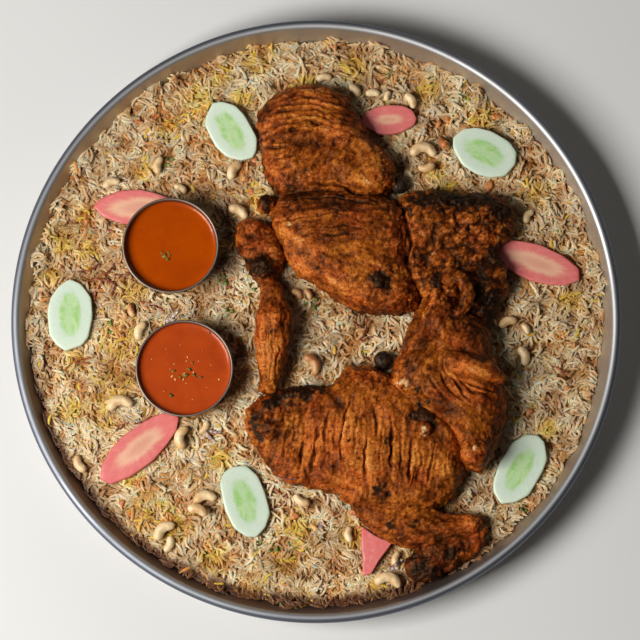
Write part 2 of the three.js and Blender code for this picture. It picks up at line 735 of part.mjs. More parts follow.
// Sauce fills its cup up to a level below the lip, with a slightly raised middle.
function sauceGeometry(cup) {
  const level = cup.height - cup.emptyHeight;
  const bottom = CUP_SHEET + TOUCH_GAP;
  const wall = cupWall(cup, bottom, level, 2, -CUP_SHEET - SAUCE_SIDE_GAP);
  const middleTop = CUP_FOOT_HEIGHT + level + SAUCE_MIDDLE_RISE;
  const profile = [[0, CUP_FOOT_HEIGHT + bottom], ...wall, [0, middleTop]];
  return turned(profile, CUP_SEGMENTS).translate(cup.x, cup.y, 0);
}

// Slices: flat pieces with a faceted outline, a bevelled edge and a slight bow
const SLICE_LOWER_BEVEL = 1.2;
const SLICE_UPPER_BEVEL = 0.8;

function sliceSolid(slice, grow = 0) {
  const corners = [];
  const triangles = [];
  const outline = slice.outline ?? facetedOval(slice);
  const count = outline.length;
  const half = slice.thickness / 2 + grow;
  const bowAt = (x) => slice.bow * (1 - (x / (slice.length / 2)) ** 2);
  for (const [height, inset] of [[-half, SLICE_LOWER_BEVEL], [0, 0], [half, SLICE_UPPER_BEVEL]]) {
    outline.forEach(([x, y]) => {
      const reach = Math.hypot(x, y);
      const scale = (reach - inset + grow) / reach;
      corners.push([x * scale, y * scale, height + bowAt(x)]);
    });
  }
  corners.push([0, 0, -half + bowAt(0)], [0, 0, half + bowAt(0)]);
  for (let place = 0; place < count; place += 1) {
    const next = (place + 1) % count;
    triangles.push([next, place, count * 3], [count * 2 + place, count * 2 + next, count * 3 + 1]);
    for (const lower of [0, count]) {
      triangles.push([lower + place, lower + next, lower + count + next]);
      triangles.push([lower + place, lower + count + next, lower + count + place]);
    }
  }
  const geometry = meshFrom(corners, triangles);
  geometry.rotateX(THREE.MathUtils.degToRad(slice.roll ?? 0));
  geometry.rotateY(THREE.MathUtils.degToRad(slice.pitch ?? 0));
  geometry.rotateZ(THREE.MathUtils.degToRad(slice.turn));
  geometry.translate(slice.x, slice.y, slice.level ?? DROP_HEIGHT);
  return solidFrom(geometry);
}

// An oval with straight facets, as a peeled root or cucumber cut on the slant gives.
function facetedOval(slice) {
  const outline = [];
  for (let side = 0; side < slice.sides; side += 1) {
    const angle = (side / slice.sides) * Math.PI * 2 + 0.12 * draw(side, slice.x);
    const swell = 1 + 0.04 * draw(side, slice.y);
    const cosine = Math.cos(angle);
    const x = Math.sign(cosine) * Math.abs(cosine) ** slice.point * slice.length / 2;
    outline.push([x * swell, Math.sin(angle) * slice.width / 2 * swell]);
  }
  return outline;
}

function cucumber(x, y, turn, length, width, pitch = 0, roll = 0) {
  return { x, y, turn, length, width, pitch, roll, sides: 12, thickness: 5.5, bow: 0.8, point: 0.85 };
}

function carrot(x, y, turn, length, width, pitch = 0, roll = 0) {
  return { x, y, turn, length, width, pitch, roll, sides: 12, thickness: 4.5, bow: 1, point: 1.15 };
}

const CUCUMBERS = [
  cucumber(-84, 189, -55, 67, 42, 0, 3),
  cucumber(167, 168, -25, 68, 46),
  cucumber(-242, 5, -93, 71, 45),
  cucumber(-70, -179, -72, 74, 44, 0, -4),
  cucumber(200, -147, 62, 77, 43, 0, 3),
];

const CARROTS = [
  carrot(-175, 112, -4, 88, 37),
  carrot(72, 201, 3, 57, 31),
  carrot(218, 57, -20, 90, 38, 3),
  carrot(-174, -127, 41, 98, 38),
  {
    ...carrot(60, -231, 0, 46, 36),
    outline: [[-16, 10], [-14, -6], [-15, -22], [-6, -20], [1, -8], [9, 3], [20, 18], [6, 14], [-4, 19],
      [-15, 27]],
  },
];

// Cashews: bent, pointed rods with round ends
const CASHEW_SECTIONS = 4;
const CASHEW_SIDES = 5;
const CASHEW_STOUTNESS = 0.46;
const CASHEW_USUAL_BEND = 130;
const CASHEW_ROLL = 12;
const CASHEW_PITCH = 8;

function cashewGeometry(cashew, number) {
  const bend = THREE.MathUtils.degToRad(cashew.bend ?? CASHEW_USUAL_BEND);
  const ringRadius = cashew.length / 2 / Math.sin(Math.min(bend, Math.PI) / 2) * 0.8;
  const middleShift = ringRadius * 0.7;
  const corners = [];
  const triangles = [];
  for (let section = 0; section < CASHEW_SECTIONS; section += 1) {
    const share = (section + 0.5) / CASHEW_SECTIONS;
    const angle = (share - 0.5) * bend;
    const swell = (0.72 + 0.28 * Math.sin(share * Math.PI)) * (1.1 - 0.2 * share);
    const radius = cashew.length * CASHEW_STOUTNESS / 2 * swell;
    for (let side = 0; side < CASHEW_SIDES; side += 1) {
      const sideAngle = (side / CASHEW_SIDES) * Math.PI * 2 + 0.3;
      const reach = ringRadius + radius * Math.cos(sideAngle);
      corners.push([
        reach * Math.sin(angle),
        reach * Math.cos(angle) - middleShift,
        radius * Math.sin(sideAngle),
      ]);
    }
  }
  for (let section = 0; section < CASHEW_SECTIONS - 1; section += 1) {
    for (let side = 0; side < CASHEW_SIDES; side += 1) {
      const next = (side + 1) % CASHEW_SIDES;
      const near = section * CASHEW_SIDES;
      const far = near + CASHEW_SIDES;
      triangles.push([near + side, far + next, far + side]);
      triangles.push([near + side, near + next, far + next]);
    }
  }
  const last = (CASHEW_SECTIONS - 1) * CASHEW_SIDES;
  const endAngle = bend * 0.5;
  for (const [start, angle, isFirst] of [[0, -endAngle, true], [last, endAngle, false]]) {
    const tip = corners.length;
    corners.push([ringRadius * Math.sin(angle), ringRadius * Math.cos(angle) - middleShift, 0]);
    for (let side = 0; side < CASHEW_SIDES; side += 1) {
      const next = (side + 1) % CASHEW_SIDES;
      triangles.push(isFirst ? [start + next, start + side, tip] : [start + side, start + next, tip]);
    }
  }
  const geometry = meshFrom(corners, triangles);
  geometry.rotateX(THREE.MathUtils.degToRad(CASHEW_ROLL * draw(number, 21)));
  geometry.rotateY(THREE.MathUtils.degToRad(CASHEW_PITCH * draw(number, 22)));
  geometry.rotateZ(THREE.MathUtils.degToRad(cashew.turn));
  geometry.translate(cashew.x, cashew.y, DROP_HEIGHT);
  return geometry;
}

// Where each cashew lies, how long it is, and which way the outside of its bend points.
const CASHEWS = [
  { x: -155, y: 155, length: 20, turn: 80 },
  { x: -202, y: 137, length: 20, turn: 20 },
  { x: -134, y: 131, length: 15, turn: -30 },
  { x: -80, y: 149, length: 23, turn: 60 },
  { x: -77, y: 107, length: 24, turn: -30 },
  { x: 8, y: 243, length: 17, turn: 10 },
  { x: 38, y: 230, length: 17, turn: -50 },
  { x: 56, y: 226, length: 17, turn: 0, bend: 90 },
  { x: 72, y: 225, length: 12, turn: 70, bend: 90 },
  { x: 93, y: 220, length: 19, turn: -60 },
  { x: 106, y: 171, length: 27, turn: 0, bend: 190 },
  { x: 109, y: 154, length: 19, turn: 190 },
  { x: 127, y: 177, length: 16, turn: 130 },
  { x: 210, y: 104, length: 17, turn: 60 },
  { x: 189, y: -3, length: 21, turn: 20 },
  { x: 205, y: -9, length: 14, turn: -60, bend: 90 },
  { x: 203, y: -36, length: 22, turn: -75 },
  { x: -181, y: 10, length: 15, turn: 100 },
  { x: -172, y: -11, length: 22, turn: 70 },
  { x: -193, y: -82, length: 27, turn: 10, bend: 180 },
  { x: -231, y: -142, length: 21, turn: 120 },
  { x: -132, y: -117, length: 25, turn: 80, bend: 170 },
  { x: -110, y: -106, length: 15, turn: -120 },
  { x: -109, y: -176, length: 25, turn: 10, bend: 160 },
  { x: -116, y: -190, length: 23, turn: -20 },
  { x: -149, y: -208, length: 26, turn: 40, bend: 160 },
  { x: -145, y: -221, length: 19, turn: -110 },
  { x: -14, y: -178, length: 20, turn: 150 },
  { x: 33, y: -212, length: 17, turn: 95 },
  { x: 71, y: -256, length: 27, turn: -10, bend: 190 },
  { x: 79, y: -236, length: 16, turn: 80 },
  { x: -19, y: 25, length: 15, turn: -40 },
  { x: -9, y: 25, length: 13, turn: -60, bend: 90 },
  { x: -3, y: -44, length: 23, turn: -60, bend: 180 },
];

// Dried limes: small, dark and slightly wrinkled
const LIMES = [
  { x: 66, y: -41, radius: 9.5, level: 42.5 },
  { x: 82, y: 134, radius: 9, level: 41 },
];

function limeSolid(lime, grow = 0) {
  const ball = bareGeometry(new THREE.SphereGeometry(1, 10, 6));
  const position = ball.attributes.position;
  for (let number = 0; number < position.count; number += 1) {
    const radius = lime.radius * (1 + 0.03 * draw(number, 31)) + grow;
    position.setXYZ(
      number,
      lime.x + position.getX(number) * radius,
      lime.y + position.getY(number) * radius,
      lime.level + position.getZ(number) * radius * 0.9,
    );
  }
  return solidFrom(ball);
}

// The whole dish, each piece as its own named mesh
const dish = new THREE.Group();

function addPiece(name, geometry, finish) {
  const mesh = new THREE.Mesh(geometry, new THREE.MeshStandardMaterial(finish));
  mesh.name = name;
  dish.add(mesh);
}

// Lets a slice fall onto the ground as it is then, and returns it with its level.
function settledSlice(slice) {
  const level = DROP_HEIGHT - dropOf(geometryFrom(sliceSolid(slice)));
  return { ...slice, level };
}

addPiece('platter', bareGeometry(platterGeometry()), STEEL);

const cupHollows = CUPS.map(cupClearance);
let riceSolid = solidFrom(riceGeometry());
cupHollows.forEach((hollow) => {
  riceSolid = riceSolid.subtract(hollow);
});
LIMES.forEach((lime) => {
  riceSolid = riceSolid.subtract(limeSolid(lime, CARVE_GAP));
});
const riceBed = geometryFrom(largestBody(riceSolid));
addPiece('rice_bed', riceBed, RICE);
addToGround(riceBed);

// The carrot slices went down first, so the cups and the chickens rest over or against them.
const settledCarrots = CARROTS.map(settledSlice);
settledCarrots.forEach((slice, number) => {
  let solid = sliceSolid(slice);
  cupHollows.forEach((hollow) => {
    solid = solid.subtract(hollow);
  });
  const geometry = geometryFrom(largestBody(solid));
  addPiece(`carrot_${number + 1}`, geometry, CARROT);
  addToGround(geometry);
});

CUPS.forEach((cup, number) => {
  const geometry = bareGeometry(cupGeometry(cup));
  addPiece(`cup_${number + 1}`, geometry, STEEL);
  addToGround(geometry);
});
addPiece('soup_1', bareGeometry(sauceGeometry(CUPS[0])), SOUP);
addPiece('salsa_2', bareGeometry(sauceGeometry(CUPS[1])), SALSA);

// The lower chicken's leg lies against the upper chicken, which is cut back round it.
const meatBed = meatBedSolid();
let upperMeat = slashedChicken(UPPER_CHICKEN).subtract(meatBed);
upperMeat = upperMeat.subtract(chickenSolid(LOWER_CHICKEN, CARVE_GAP));
let lowerMeat = slashedChicken(LOWER_CHICKEN).subtract(meatBed);
LIMES.forEach((lime) => {
  upperMeat = upperMeat.subtract(limeSolid(lime, CARVE_GAP));
  lowerMeat = lowerMeat.subtract(limeSolid(lime, CARVE_GAP));
});
settledCarrots.forEach((slice) => {
  upperMeat = upperMeat.subtract(sliceSolid(slice, CARVE_GAP));
  lowerMeat = lowerMeat.subtract(sliceSolid(slice, CARVE_GAP));
});
[upperMeat, lowerMeat].forEach((solid, number) => {
  const geometry = geometryFrom(largestBody(solid));
  addPiece(`chicken_${number + 1}`, geometry, MEAT);
  addToGround(geometry);
});

LIMES.forEach((lime, number) => {
  const geometry = geometryFrom(limeSolid(lime));
  addPiece(`dried_lime_${number + 1}`, geometry, LIME);
  addToGround(geometry);
});

CUCUMBERS.forEach((slice, number) => {
  const geometry = geometryFrom(sliceSolid(settledSlice(slice)));
  addPiece(`cucumber_${number + 1}`, geometry, CUCUMBER);
  addToGround(geometry);
});

CASHEWS.forEach((cashew, number) => {
  const geometry = cashewGeometry(cashew, number);
  geometry.translate(0, 0, -dropOf(geometry));
  addPiece(`cashew_${String(number + 1).padStart(2, '0')}`, geometry, CASHEW);
  addToGround(geometry);
});

export default dish;
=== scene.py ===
"""Looks of a communal platter of spiced rice with two flattened grilled chickens.

Units are metres. Lists of places and sizes are in millimetres, and MM turns them into metres.
"""

import math
from collections import namedtuple

import bmesh
import bpy
import numpy as np
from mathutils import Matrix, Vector
from mathutils.bvhtree import BVHTree


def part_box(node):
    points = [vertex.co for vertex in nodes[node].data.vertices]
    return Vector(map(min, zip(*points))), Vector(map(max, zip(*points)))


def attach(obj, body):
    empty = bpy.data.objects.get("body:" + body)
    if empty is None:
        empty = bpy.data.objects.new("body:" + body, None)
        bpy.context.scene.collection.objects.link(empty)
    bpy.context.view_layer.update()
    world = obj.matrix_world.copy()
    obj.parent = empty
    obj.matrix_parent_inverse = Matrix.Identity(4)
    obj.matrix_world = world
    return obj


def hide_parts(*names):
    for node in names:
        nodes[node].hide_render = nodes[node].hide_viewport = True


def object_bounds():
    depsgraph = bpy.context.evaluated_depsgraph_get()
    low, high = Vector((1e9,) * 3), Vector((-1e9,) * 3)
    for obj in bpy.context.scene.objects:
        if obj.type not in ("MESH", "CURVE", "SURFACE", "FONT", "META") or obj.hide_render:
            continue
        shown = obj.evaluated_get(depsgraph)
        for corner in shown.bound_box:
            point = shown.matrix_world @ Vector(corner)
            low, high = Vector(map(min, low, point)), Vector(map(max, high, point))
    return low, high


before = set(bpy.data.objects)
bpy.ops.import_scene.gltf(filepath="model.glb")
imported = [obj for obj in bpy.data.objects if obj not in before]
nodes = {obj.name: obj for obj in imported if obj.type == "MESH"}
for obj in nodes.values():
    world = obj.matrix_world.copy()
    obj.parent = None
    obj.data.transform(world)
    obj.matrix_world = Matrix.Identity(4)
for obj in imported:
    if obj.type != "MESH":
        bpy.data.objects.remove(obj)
CAD_LOW, CAD_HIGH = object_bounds()

MM = 0.001
RNG = np.random.default_rng(20)

# Camera and light, from the photo's framing and the cups' shadows
IMAGE_SIDE = 640
SENSOR = 36.0
CAMERA_DISTANCE = 6.0
CAMERA_TILT = 8.9
CAMERA_AIM = (3.8 * MM, -1.2 * MM)
RIM_WIDTH_IN_IMAGE = 610.5
FLOOR_SIZE = 16
WORLD_COLOUR = (1, 0.92, 0.84, 1)
WORLD_STRENGTH = 0.042

# Each light's name, azimuth and elevation in degrees, distance, size and power
LIGHTS = [("key", 202, 47, 2.6, 1.3, 90), ("fill", 60, 32, 2.2, 1.4, 2.4)]

# Platter
SHEET = 1.6 * MM
BEAD = 4.8 * MM
WALL_SLOPE = math.radians(56)
COVE = 28.0 * MM
TURN_STEPS = 224
FRONT_TURN = math.radians(245)

# Cups and their sauces
CUP_SHEET = 1.2 * MM
CUP_LIP = 1.1 * MM
CUP_BASE = 36.0 * MM
CUP_STEPS = 128
SAUCE_DROP = 0.5 * MM
SAUCE_GAP = 0.15 * MM
SAUCE_CLIMB = 1.5 * MM
SAUCE_CURVE = 1.9 * MM
SAUCE_STATIONS = [0.004, 0.012, 0.022, 0.035, 0.05, 0.075, 0.12, 0.2, 0.3, 0.4, 0.5, 0.6, 0.7, 0.8, 0.9, 0.96]

# Map of the rice
MAP_STEP = 2.0 * MM
MAP_BLURS = 10
MAP_RAY_TOP = 0.2
MAP_RAY_FOOT = 0.01
NO_CEILING = 1.0
RICE_LOWEST_TOP = 23 * MM
CORE_DROP = 2.1 * MM

# Grains. A length or width is its mean, spread, least and most, in millimetres.
GRAIN_COUNT = 24000
GRAIN_SIDES = 4
GRAIN_STATIONS = np.array([0.08, 0.36, 0.64, 0.92])
GRAIN_FULLNESS = np.array([0.7, 1.0, 1.0, 0.7])
GRAIN_FLATNESS = 0.86
GRAIN_LENGTH = (12.2, 2.0, 7, 17)
GRAIN_WIDTH = (2.75, 0.22, 2.1, 3.3)
GRAIN_BEND = 1.9 * MM
GRAIN_ARCH = 0.8 * MM
MEAN_ARCH = 0.5 * MM
GRAIN_PITCH = math.radians(7)
STEEP_SHARE = 0.06
STEEPEST = 0.75
BUNCH_SIZE = 15 * MM
BUNCH_SHARE = 0.4
DEEPEST_LAYER = -1.8
LAYER_RISE = 2.3
SHADING_LIFT = 2.0
LOWEST_GRAIN = 18 * MM
EDGE_MARGIN = 11 * MM
FURTHEST_PULL = 7 * MM
WALL_CLEARANCE = 0.5 * MM
CUP_CLEARANCE = 0.4 * MM
CEILING_CLEARANCE = 0.3 * MM

# Meat, and where to look for the top under a topping
MEAT_VOXEL = 1.25 * MM
LIME_VOXEL = 0.7 * MM
SIDE_SWELL = 1.1
WELD_DISTANCE = 0.01 * MM
TOPPING_RAY_TOP = 0.3


# Numbers and noise

def srgb(red, green, blue):
    """Linear colour of an sRGB colour given from 0 to 255."""
    share = np.array([red, green, blue], float) / 255
    return np.where(share <= 0.04045, share / 12.92, ((share + 0.055) / 1.055) ** 2.4)


def lattice(column, row, layer, seed):
    """A repeatable number between -1 and 1 for each lattice point."""
    mask = 0xFFFFFFFF
    mixed = (column * 374761393 + row * 668265263 + layer * 1440662683 + seed * 974634777) & mask
    mixed = ((mixed ^ (mixed >> 13)) * 1274126177) & mask
    mixed = ((mixed ^ (mixed >> 15)) * 1103515245) & mask
    return ((mixed >> 8) & 0xFFFF) / 32767.5 - 1


def soft_noise(points, size, seed=0):
    """Smooth noise from about -1 to 1, with features about size across."""
    scaled = points / size
    low = np.floor(scaled).astype(np.int64)
    share = scaled - low
    share = share * share * share * (share * (share * 6 - 15) + 10)
    total = np.zeros(len(points))
    for corner in range(8):
        step = (corner & 1, corner >> 1 & 1, corner >> 2 & 1)
        weight = np.ones(len(points))
        for axis in range(3):
            weight *= share[:, axis] if step[axis] else 1 - share[:, axis]
        total += weight * lattice(low[:, 0] + step[0], low[:, 1] + step[1], low[:, 2] + step[2], seed)
    return total


def layered_noise(points, size, octaves=3, seed=0):
    """Noise with ever finer layers on it."""
    total = np.zeros(len(points))
    weight = 1.0
    whole = 0.0
    for octave in range(octaves):
        total += weight * soft_noise(points + 0.37 * size * octave, size / 2 ** octave, seed + octave)
        whole += weight
        weight *= 0.55
    return total / whole


def smooth_step(low, high, values):
    """0 below low, 1 above high and a smooth rise between them."""
    share = np.clip((values - low) / (high - low), 0, 1)
    return share * share * (3 - 2 * share)


def blend_colours(first, second, share):
    """Colours from first to second, by a share for each corner."""
    return first + (second - first) * np.asarray(share)[:, None]


def stained_by(colours, stain, share):
    """Colours multiplied by a stain, by a share for each corner."""
    return colours * blend_colours(np.ones(3), stain, share)


def covered(colours, *covers):
    """Colours with others blended over them in turn, each an sRGB colour and a share for each corner."""
    for colour, share in covers:
        colours = blend_colours(colours, srgb(*colour), share)
    return colours


def flat_places(x, y):
    """Places on the level, as rows that the noise takes."""
    return np.column_stack([x, y, np.zeros_like(x)])


# Meshes

def link_object(name, mesh):
    piece = bpy.data.objects.new(name, mesh)
    bpy.context.scene.collection.objects.link(piece)
    return piece


def piece_from(name, corners, faces):
    """A new smooth object from an array of corners and a list or array of faces."""
    mesh = bpy.data.meshes.new(name)
    mesh.from_pydata(np.asarray(corners).tolist(), [], [list(map(int, face)) for face in faces])
    mesh.shade_smooth()
    mesh.update()
    return link_object(name, mesh)


def finish_piece(piece, material, slot, *replaced):
    """Gives a piece its material, puts it under the root body and hides the solids that it replaces. The slot
    is not used.
    """
    piece.data.materials.clear()
    piece.data.materials.append(material)
    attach(piece, "root")
    if replaced:
        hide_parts(*replaced)


def corners_of(mesh):
    values = np.empty(len(mesh.vertices) * 3)
    mesh.vertices.foreach_get("co", values)
    return values.reshape(-1, 3)


def normals_of(mesh):
    values = np.empty(len(mesh.vertices) * 3)
    mesh.vertex_normals.foreach_get("vector", values)
    return values.reshape(-1, 3)


def move_corners(mesh, corners):
    mesh.vertices.foreach_set("co", corners.astype(np.float32).ravel())
    mesh.update()


def paint(mesh, name, colours):
    """Keeps a colour for each corner, for the material to read."""
    layer = mesh.color_attributes.new(name, "FLOAT_COLOR", "POINT")
    full = np.column_stack([np.clip(colours, 0, 1), np.ones(len(colours))])
    layer.data.foreach_set("color", full.astype(np.float32).ravel())


def with_modifiers(piece):
    """Applies the modifiers of a piece to its mesh."""
    graph = bpy.context.evaluated_depsgraph_get()
    result = bpy.data.meshes.new_from_object(piece.evaluated_get(graph))
    piece.modifiers.clear()
    piece.data = result
    return piece


def welded_copy(node, name):
    """A copy of a CAD solid's mesh with its corners joined."""
    mesh = nodes[node].data.copy()
    shape = bmesh.new()
    shape.from_mesh(mesh)
    bmesh.ops.remove_doubles(shape, verts=shape.verts, dist=WELD_DISTANCE)
    shape.to_mesh(mesh)
    shape.free()
    mesh.materials.clear()
    return link_object(name, mesh)


def turned(name, profile, steps, centre=(0, 0)):
    """A solid turned about a vertical axis from [radius, height] pairs that start and end on the axis."""
    ring = profile[1:-1]
    corners = []
    for step in range(steps):
        angle = 2 * math.pi * step / steps
        for radius, height in ring:
            x = centre[0] + radius * math.cos(angle)
            y = centre[1] + radius * math.sin(angle)
            corners.append((x, y, height))
    first = len(corners)
    corners += [(*centre, profile[0][1]), (*centre, profile[-1][1])]
    faces = []
    count = len(ring)
    for step in range(steps):
        near = step * count
        far = (step + 1) % steps * count
        faces.append((first, far, near))
        faces.append((first + 1, near + count - 1, far + count - 1))
        for place in range(count - 1):
            faces.append((near + place, far + place, far + place + 1, near + place + 1))
    return piece_from(name, corners, faces)


def arc(centre_radius, centre_height, radius, start, end, steps):
    """Points on an arc in a profile, between two angles in degrees."""
    points = []
    for step in range(steps + 1):
        angle = math.radians(start + (end - start) * step / steps)
        points.append((centre_radius + radius * math.cos(angle), centre_height + radius * math.sin(angle)))
    return points


# Materials

def new_material(name, **values):
    """A node material, and its shader with some sockets set."""
    material = bpy.data.materials.new(name)
    material.use_nodes = True
    shader = material.node_tree.nodes["Principled BSDF"]
    for socket, value in values.items():
        shader.inputs[socket.replace("_", " ")].default_value = value
    return material, shader


def add_node(material, kind, inputs=None, **settings):
    node = material.node_tree.nodes.new(kind)
    for setting, value in settings.items():
        setattr(node, setting, value)
    for socket, value in (inputs or {}).items():
        if isinstance(value, bpy.types.NodeSocket):
            material.node_tree.links.new(value, node.inputs[socket])
        else:
            node.inputs[socket].default_value = value
    return node


def join(material, source, target):
    material.node_tree.links.new(source, target)


def place_socket(material):
    return add_node(material, "ShaderNodeTexCoord").outputs["Object"]


def noise_socket(material, size, detail=3.0, roughness=0.55, stretch=None, distortion=0.0):
    """Noise with features about size across, in metres, from 0 to 1."""
    place = place_socket(material)
    if stretch:
        place = add_node(material, "ShaderNodeMapping", {"Vector": place, "Scale": stretch}).outputs[0]
    inputs = {
        "Vector": place, "Scale": 1 / size, "Detail": detail, "Roughness": roughness,
        "Distortion": distortion,
    }
    return add_node(material, "ShaderNodeTexNoise", inputs).outputs["Fac"]


def range_socket(material, source, low, high, new_low, new_high):
    """A value moved from one range to another and kept in it."""
    inputs = {"Value": source, "From Min": low, "From Max": high, "To Min": new_low, "To Max": new_high}
    return add_node(material, "ShaderNodeMapRange", inputs).outputs[0]


def mix_socket(material, share, first, second, mode="MIX"):
    """Two colours mixed by a share, which is a socket or a number."""
    node = add_node(material, "ShaderNodeMix", data_type="RGBA", blend_type=mode)
    for place, value in ((0, share), (6, first), (7, second)):
        if isinstance(value, bpy.types.NodeSocket):
            join(material, value, node.inputs[place])
        elif place == 0:
            node.inputs[place].default_value = value
        else:
            node.inputs[place].default_value = (*value, 1)
    return node.outputs[2]


def bump_into(material, shader, height, distance, strength=1.0):
    inputs = {"Height": height, "Distance": distance, "Strength": strength}
    node = add_node(material, "ShaderNodeBump", inputs)
    join(material, node.outputs[0], shader.inputs["Normal"])


def attribute_socket(material, name):
    return add_node(material, "ShaderNodeAttribute", attribute_name=name).outputs["Color"]


def steel_material(name, low_roughness, high_roughness, scratches):
    """Polished steel with fine turned lines, faint smears and small scratches."""
    material, shader = new_material(name, Metallic=1.0)
    smear = noise_socket(material, 0.06, 4.0, 0.6)
    tint = attribute_socket(material, "tint")
    share = range_socket(material, smear, 0.35, 0.7, 0.0, 1.0)
    smeared = mix_socket(material, share, tint, (0.84, 0.84, 0.84), "MULTIPLY")
    join(material, smeared, shader.inputs["Base Color"])
    rough = range_socket(material, smear, 0.3, 0.75, low_roughness, high_roughness)
    join(material, rough, shader.inputs["Roughness"])
    scratch = noise_socket(material, 0.0022, 2.0, 0.5, stretch=(1, 1, 6))
    bump_into(material, shader, scratch, 0.02 * MM, scratches)
    return material


def painted_material(name, size, share, dark, gloss, relief, **values):
    """A food surface whose painted colour gets fine dark speckles and an uneven gloss.

    The speckles' size and relief are in millimetres, and gloss is the lowest and highest roughness.
    """
    material, shader = new_material(name, **values)
    tint = attribute_socket(material, "tint")
    speckle = noise_socket(material, size * MM, 4.0, 0.65)
    share = range_socket(material, speckle, 0.52, 0.72, 0.0, share)
    speckled = mix_socket(material, share, tint, srgb(*dark), "MULTIPLY")
    join(material, speckled, shader.inputs["Base Color"])
    cloud = noise_socket(material, size * MM * 3, 2.0)
    join(material, range_socket(material, cloud, 0.3, 0.7, *gloss), shader.inputs["Roughness"])
    bump_into(material, shader, speckle, relief * MM, 0.8)
    return material


# Platter: flat base, cove, sloping wall and rolled bead

def wall_shape():
    """Radius of the flat base, and radius and height of the cove's top, where the sloping wall starts."""
    bead_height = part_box("platter")[1].z - BEAD
    wall_top = CAD_HIGH[0] - BEAD - BEAD * 0.75
    cove_top = SHEET + COVE * (1 - math.cos(WALL_SLOPE))
    cove_radius = wall_top - (bead_height - cove_top) / math.tan(WALL_SLOPE)
    return cove_radius - COVE * math.sin(WALL_SLOPE), cove_radius, cove_top


def platter_profile():
    flat = wall_shape()[0]
    slope = math.degrees(WALL_SLOPE)
    below = arc(flat, SHEET + COVE, COVE + SHEET, -90, slope - 90, 10)
    bead = arc(CAD_HIGH[0] - BEAD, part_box("platter")[1].z - BEAD, BEAD, -75, 170, 14)
    above = arc(flat, SHEET + COVE, COVE, slope - 90, -90, 12)
    return [(0, 0)] + below + bead + above + [(0, SHEET)]


def wall_radius(heights):
    """Radius of the platter's inner face at each height."""
    flat, cove_radius, cove_top = wall_shape()
    on_wall = cove_radius + (heights - cove_top) / math.tan(WALL_SLOPE)
    drop = COVE - (heights - SHEET)
    on_cove = flat + np.sqrt(np.maximum(0, COVE ** 2 - drop ** 2))
    return np.where(heights >= cove_top, on_wall, on_cove)


def painted_front_dark_share(x, y):
    """1 at the front left of the dish, where its wall gets a dark painted reflection and the rice's edge
    painted shade, and 0 on its far side.
    """
    return smooth_step(0.26, 0.7, np.cos(np.arctan2(y, x) - FRONT_TURN))


def make_platter():
    """The platter, with painted reflections: warm inside its wall, dark at its front left, and darker on the
    outside of its bead.
    """
    piece = turned("platter_polished", platter_profile(), TURN_STEPS)
    corners = corners_of(piece.data)
    x, y = corners[:, 0], corners[:, 1]
    inward = CAD_HIGH[0] - np.hypot(x, y)
    # Inside the wall: a warm painted reflection of the rice, and a dark painted reflection at the front left.
    inside = covered(srgb(208, 190, 164), ((104, 68, 44), painted_front_dark_share(x, y)))
    facing = smooth_step(0.0, 0.2, normals_of(piece.data)[:, 2])
    colours = blend_colours(srgb(212, 207, 200), inside, facing)
    # Greyer on the bead, and a dark painted reflection on the outside of the bead.
    colours = covered(
        colours,
        ((194, 193, 192), 1 - smooth_step(1.7 * BEAD, 2.2 * BEAD, inward)),
        ((122, 126, 136), 1 - smooth_step(0.4 * BEAD, 1.3 * BEAD, inward)),
    )
    paint(piece.data, "tint", colours)
    finish_piece(piece, steel_material("platter_steel", 0.5, 0.62, 0.3), "steel", "platter")


# Cups of sauce

Cup = namedtuple("Cup", "x y lip foot rise")


def cup_shape(node):
    """Centre, lip radius, foot height and rise of a cup."""
    low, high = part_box(node)
    return Cup((low.x + high.x) / 2, (low.y + high.y) / 2, (high.x - low.x) / 2, low.z, high.z - low.z)


def cup_wall_radius(cup, rise):
    """Outer radius of a cup's wall at a rise above its foot."""
    return CUP_BASE + (cup.lip - CUP_LIP - CUP_BASE) * np.sin(rise / cup.rise * math.pi / 2) ** 0.8


def make_cup(node, material):
    cup = cup_shape(node)
    rises = np.linspace(0.4 * MM, cup.rise - CUP_LIP * 3, 14)
    outer = [(float(cup_wall_radius(cup, rise)), cup.foot + float(rise)) for rise in rises]
    lip = arc(cup.lip - CUP_LIP, cup.foot + cup.rise - CUP_LIP, CUP_LIP, -70, 180, 10)
    inner = [(radius - CUP_SHEET, height + CUP_SHEET) for radius, height in reversed(outer)]
    floor = cup.foot + CUP_SHEET
    profile = [(0, cup.foot), (CUP_BASE - 1 * MM, cup.foot)] + outer + lip + inner
    profile += [(CUP_BASE - 3 * MM, floor), (0, floor)]
    piece = turned(node + "_steel", profile, CUP_STEPS, (cup.x, cup.y))
    corners = corners_of(piece.data)
    rises = np.clip(corners[:, 2] - cup.foot, 0.1 * MM, cup.rise)
    reach = np.hypot(corners[:, 0] - cup.x, corners[:, 1] - cup.y)
    inside = reach < cup_wall_radius(cup, rises) - CUP_SHEET / 2
    # Below the lip, the inside of the wall gets a brown painted shade.
    low = inside * (1 - smooth_step(cup.rise * 0.7, cup.rise, rises))
    paint(piece.data, "tint", covered(srgb(152, 137, 124), ((108, 88, 76), low)))
    finish_piece(piece, material, "steel", node)


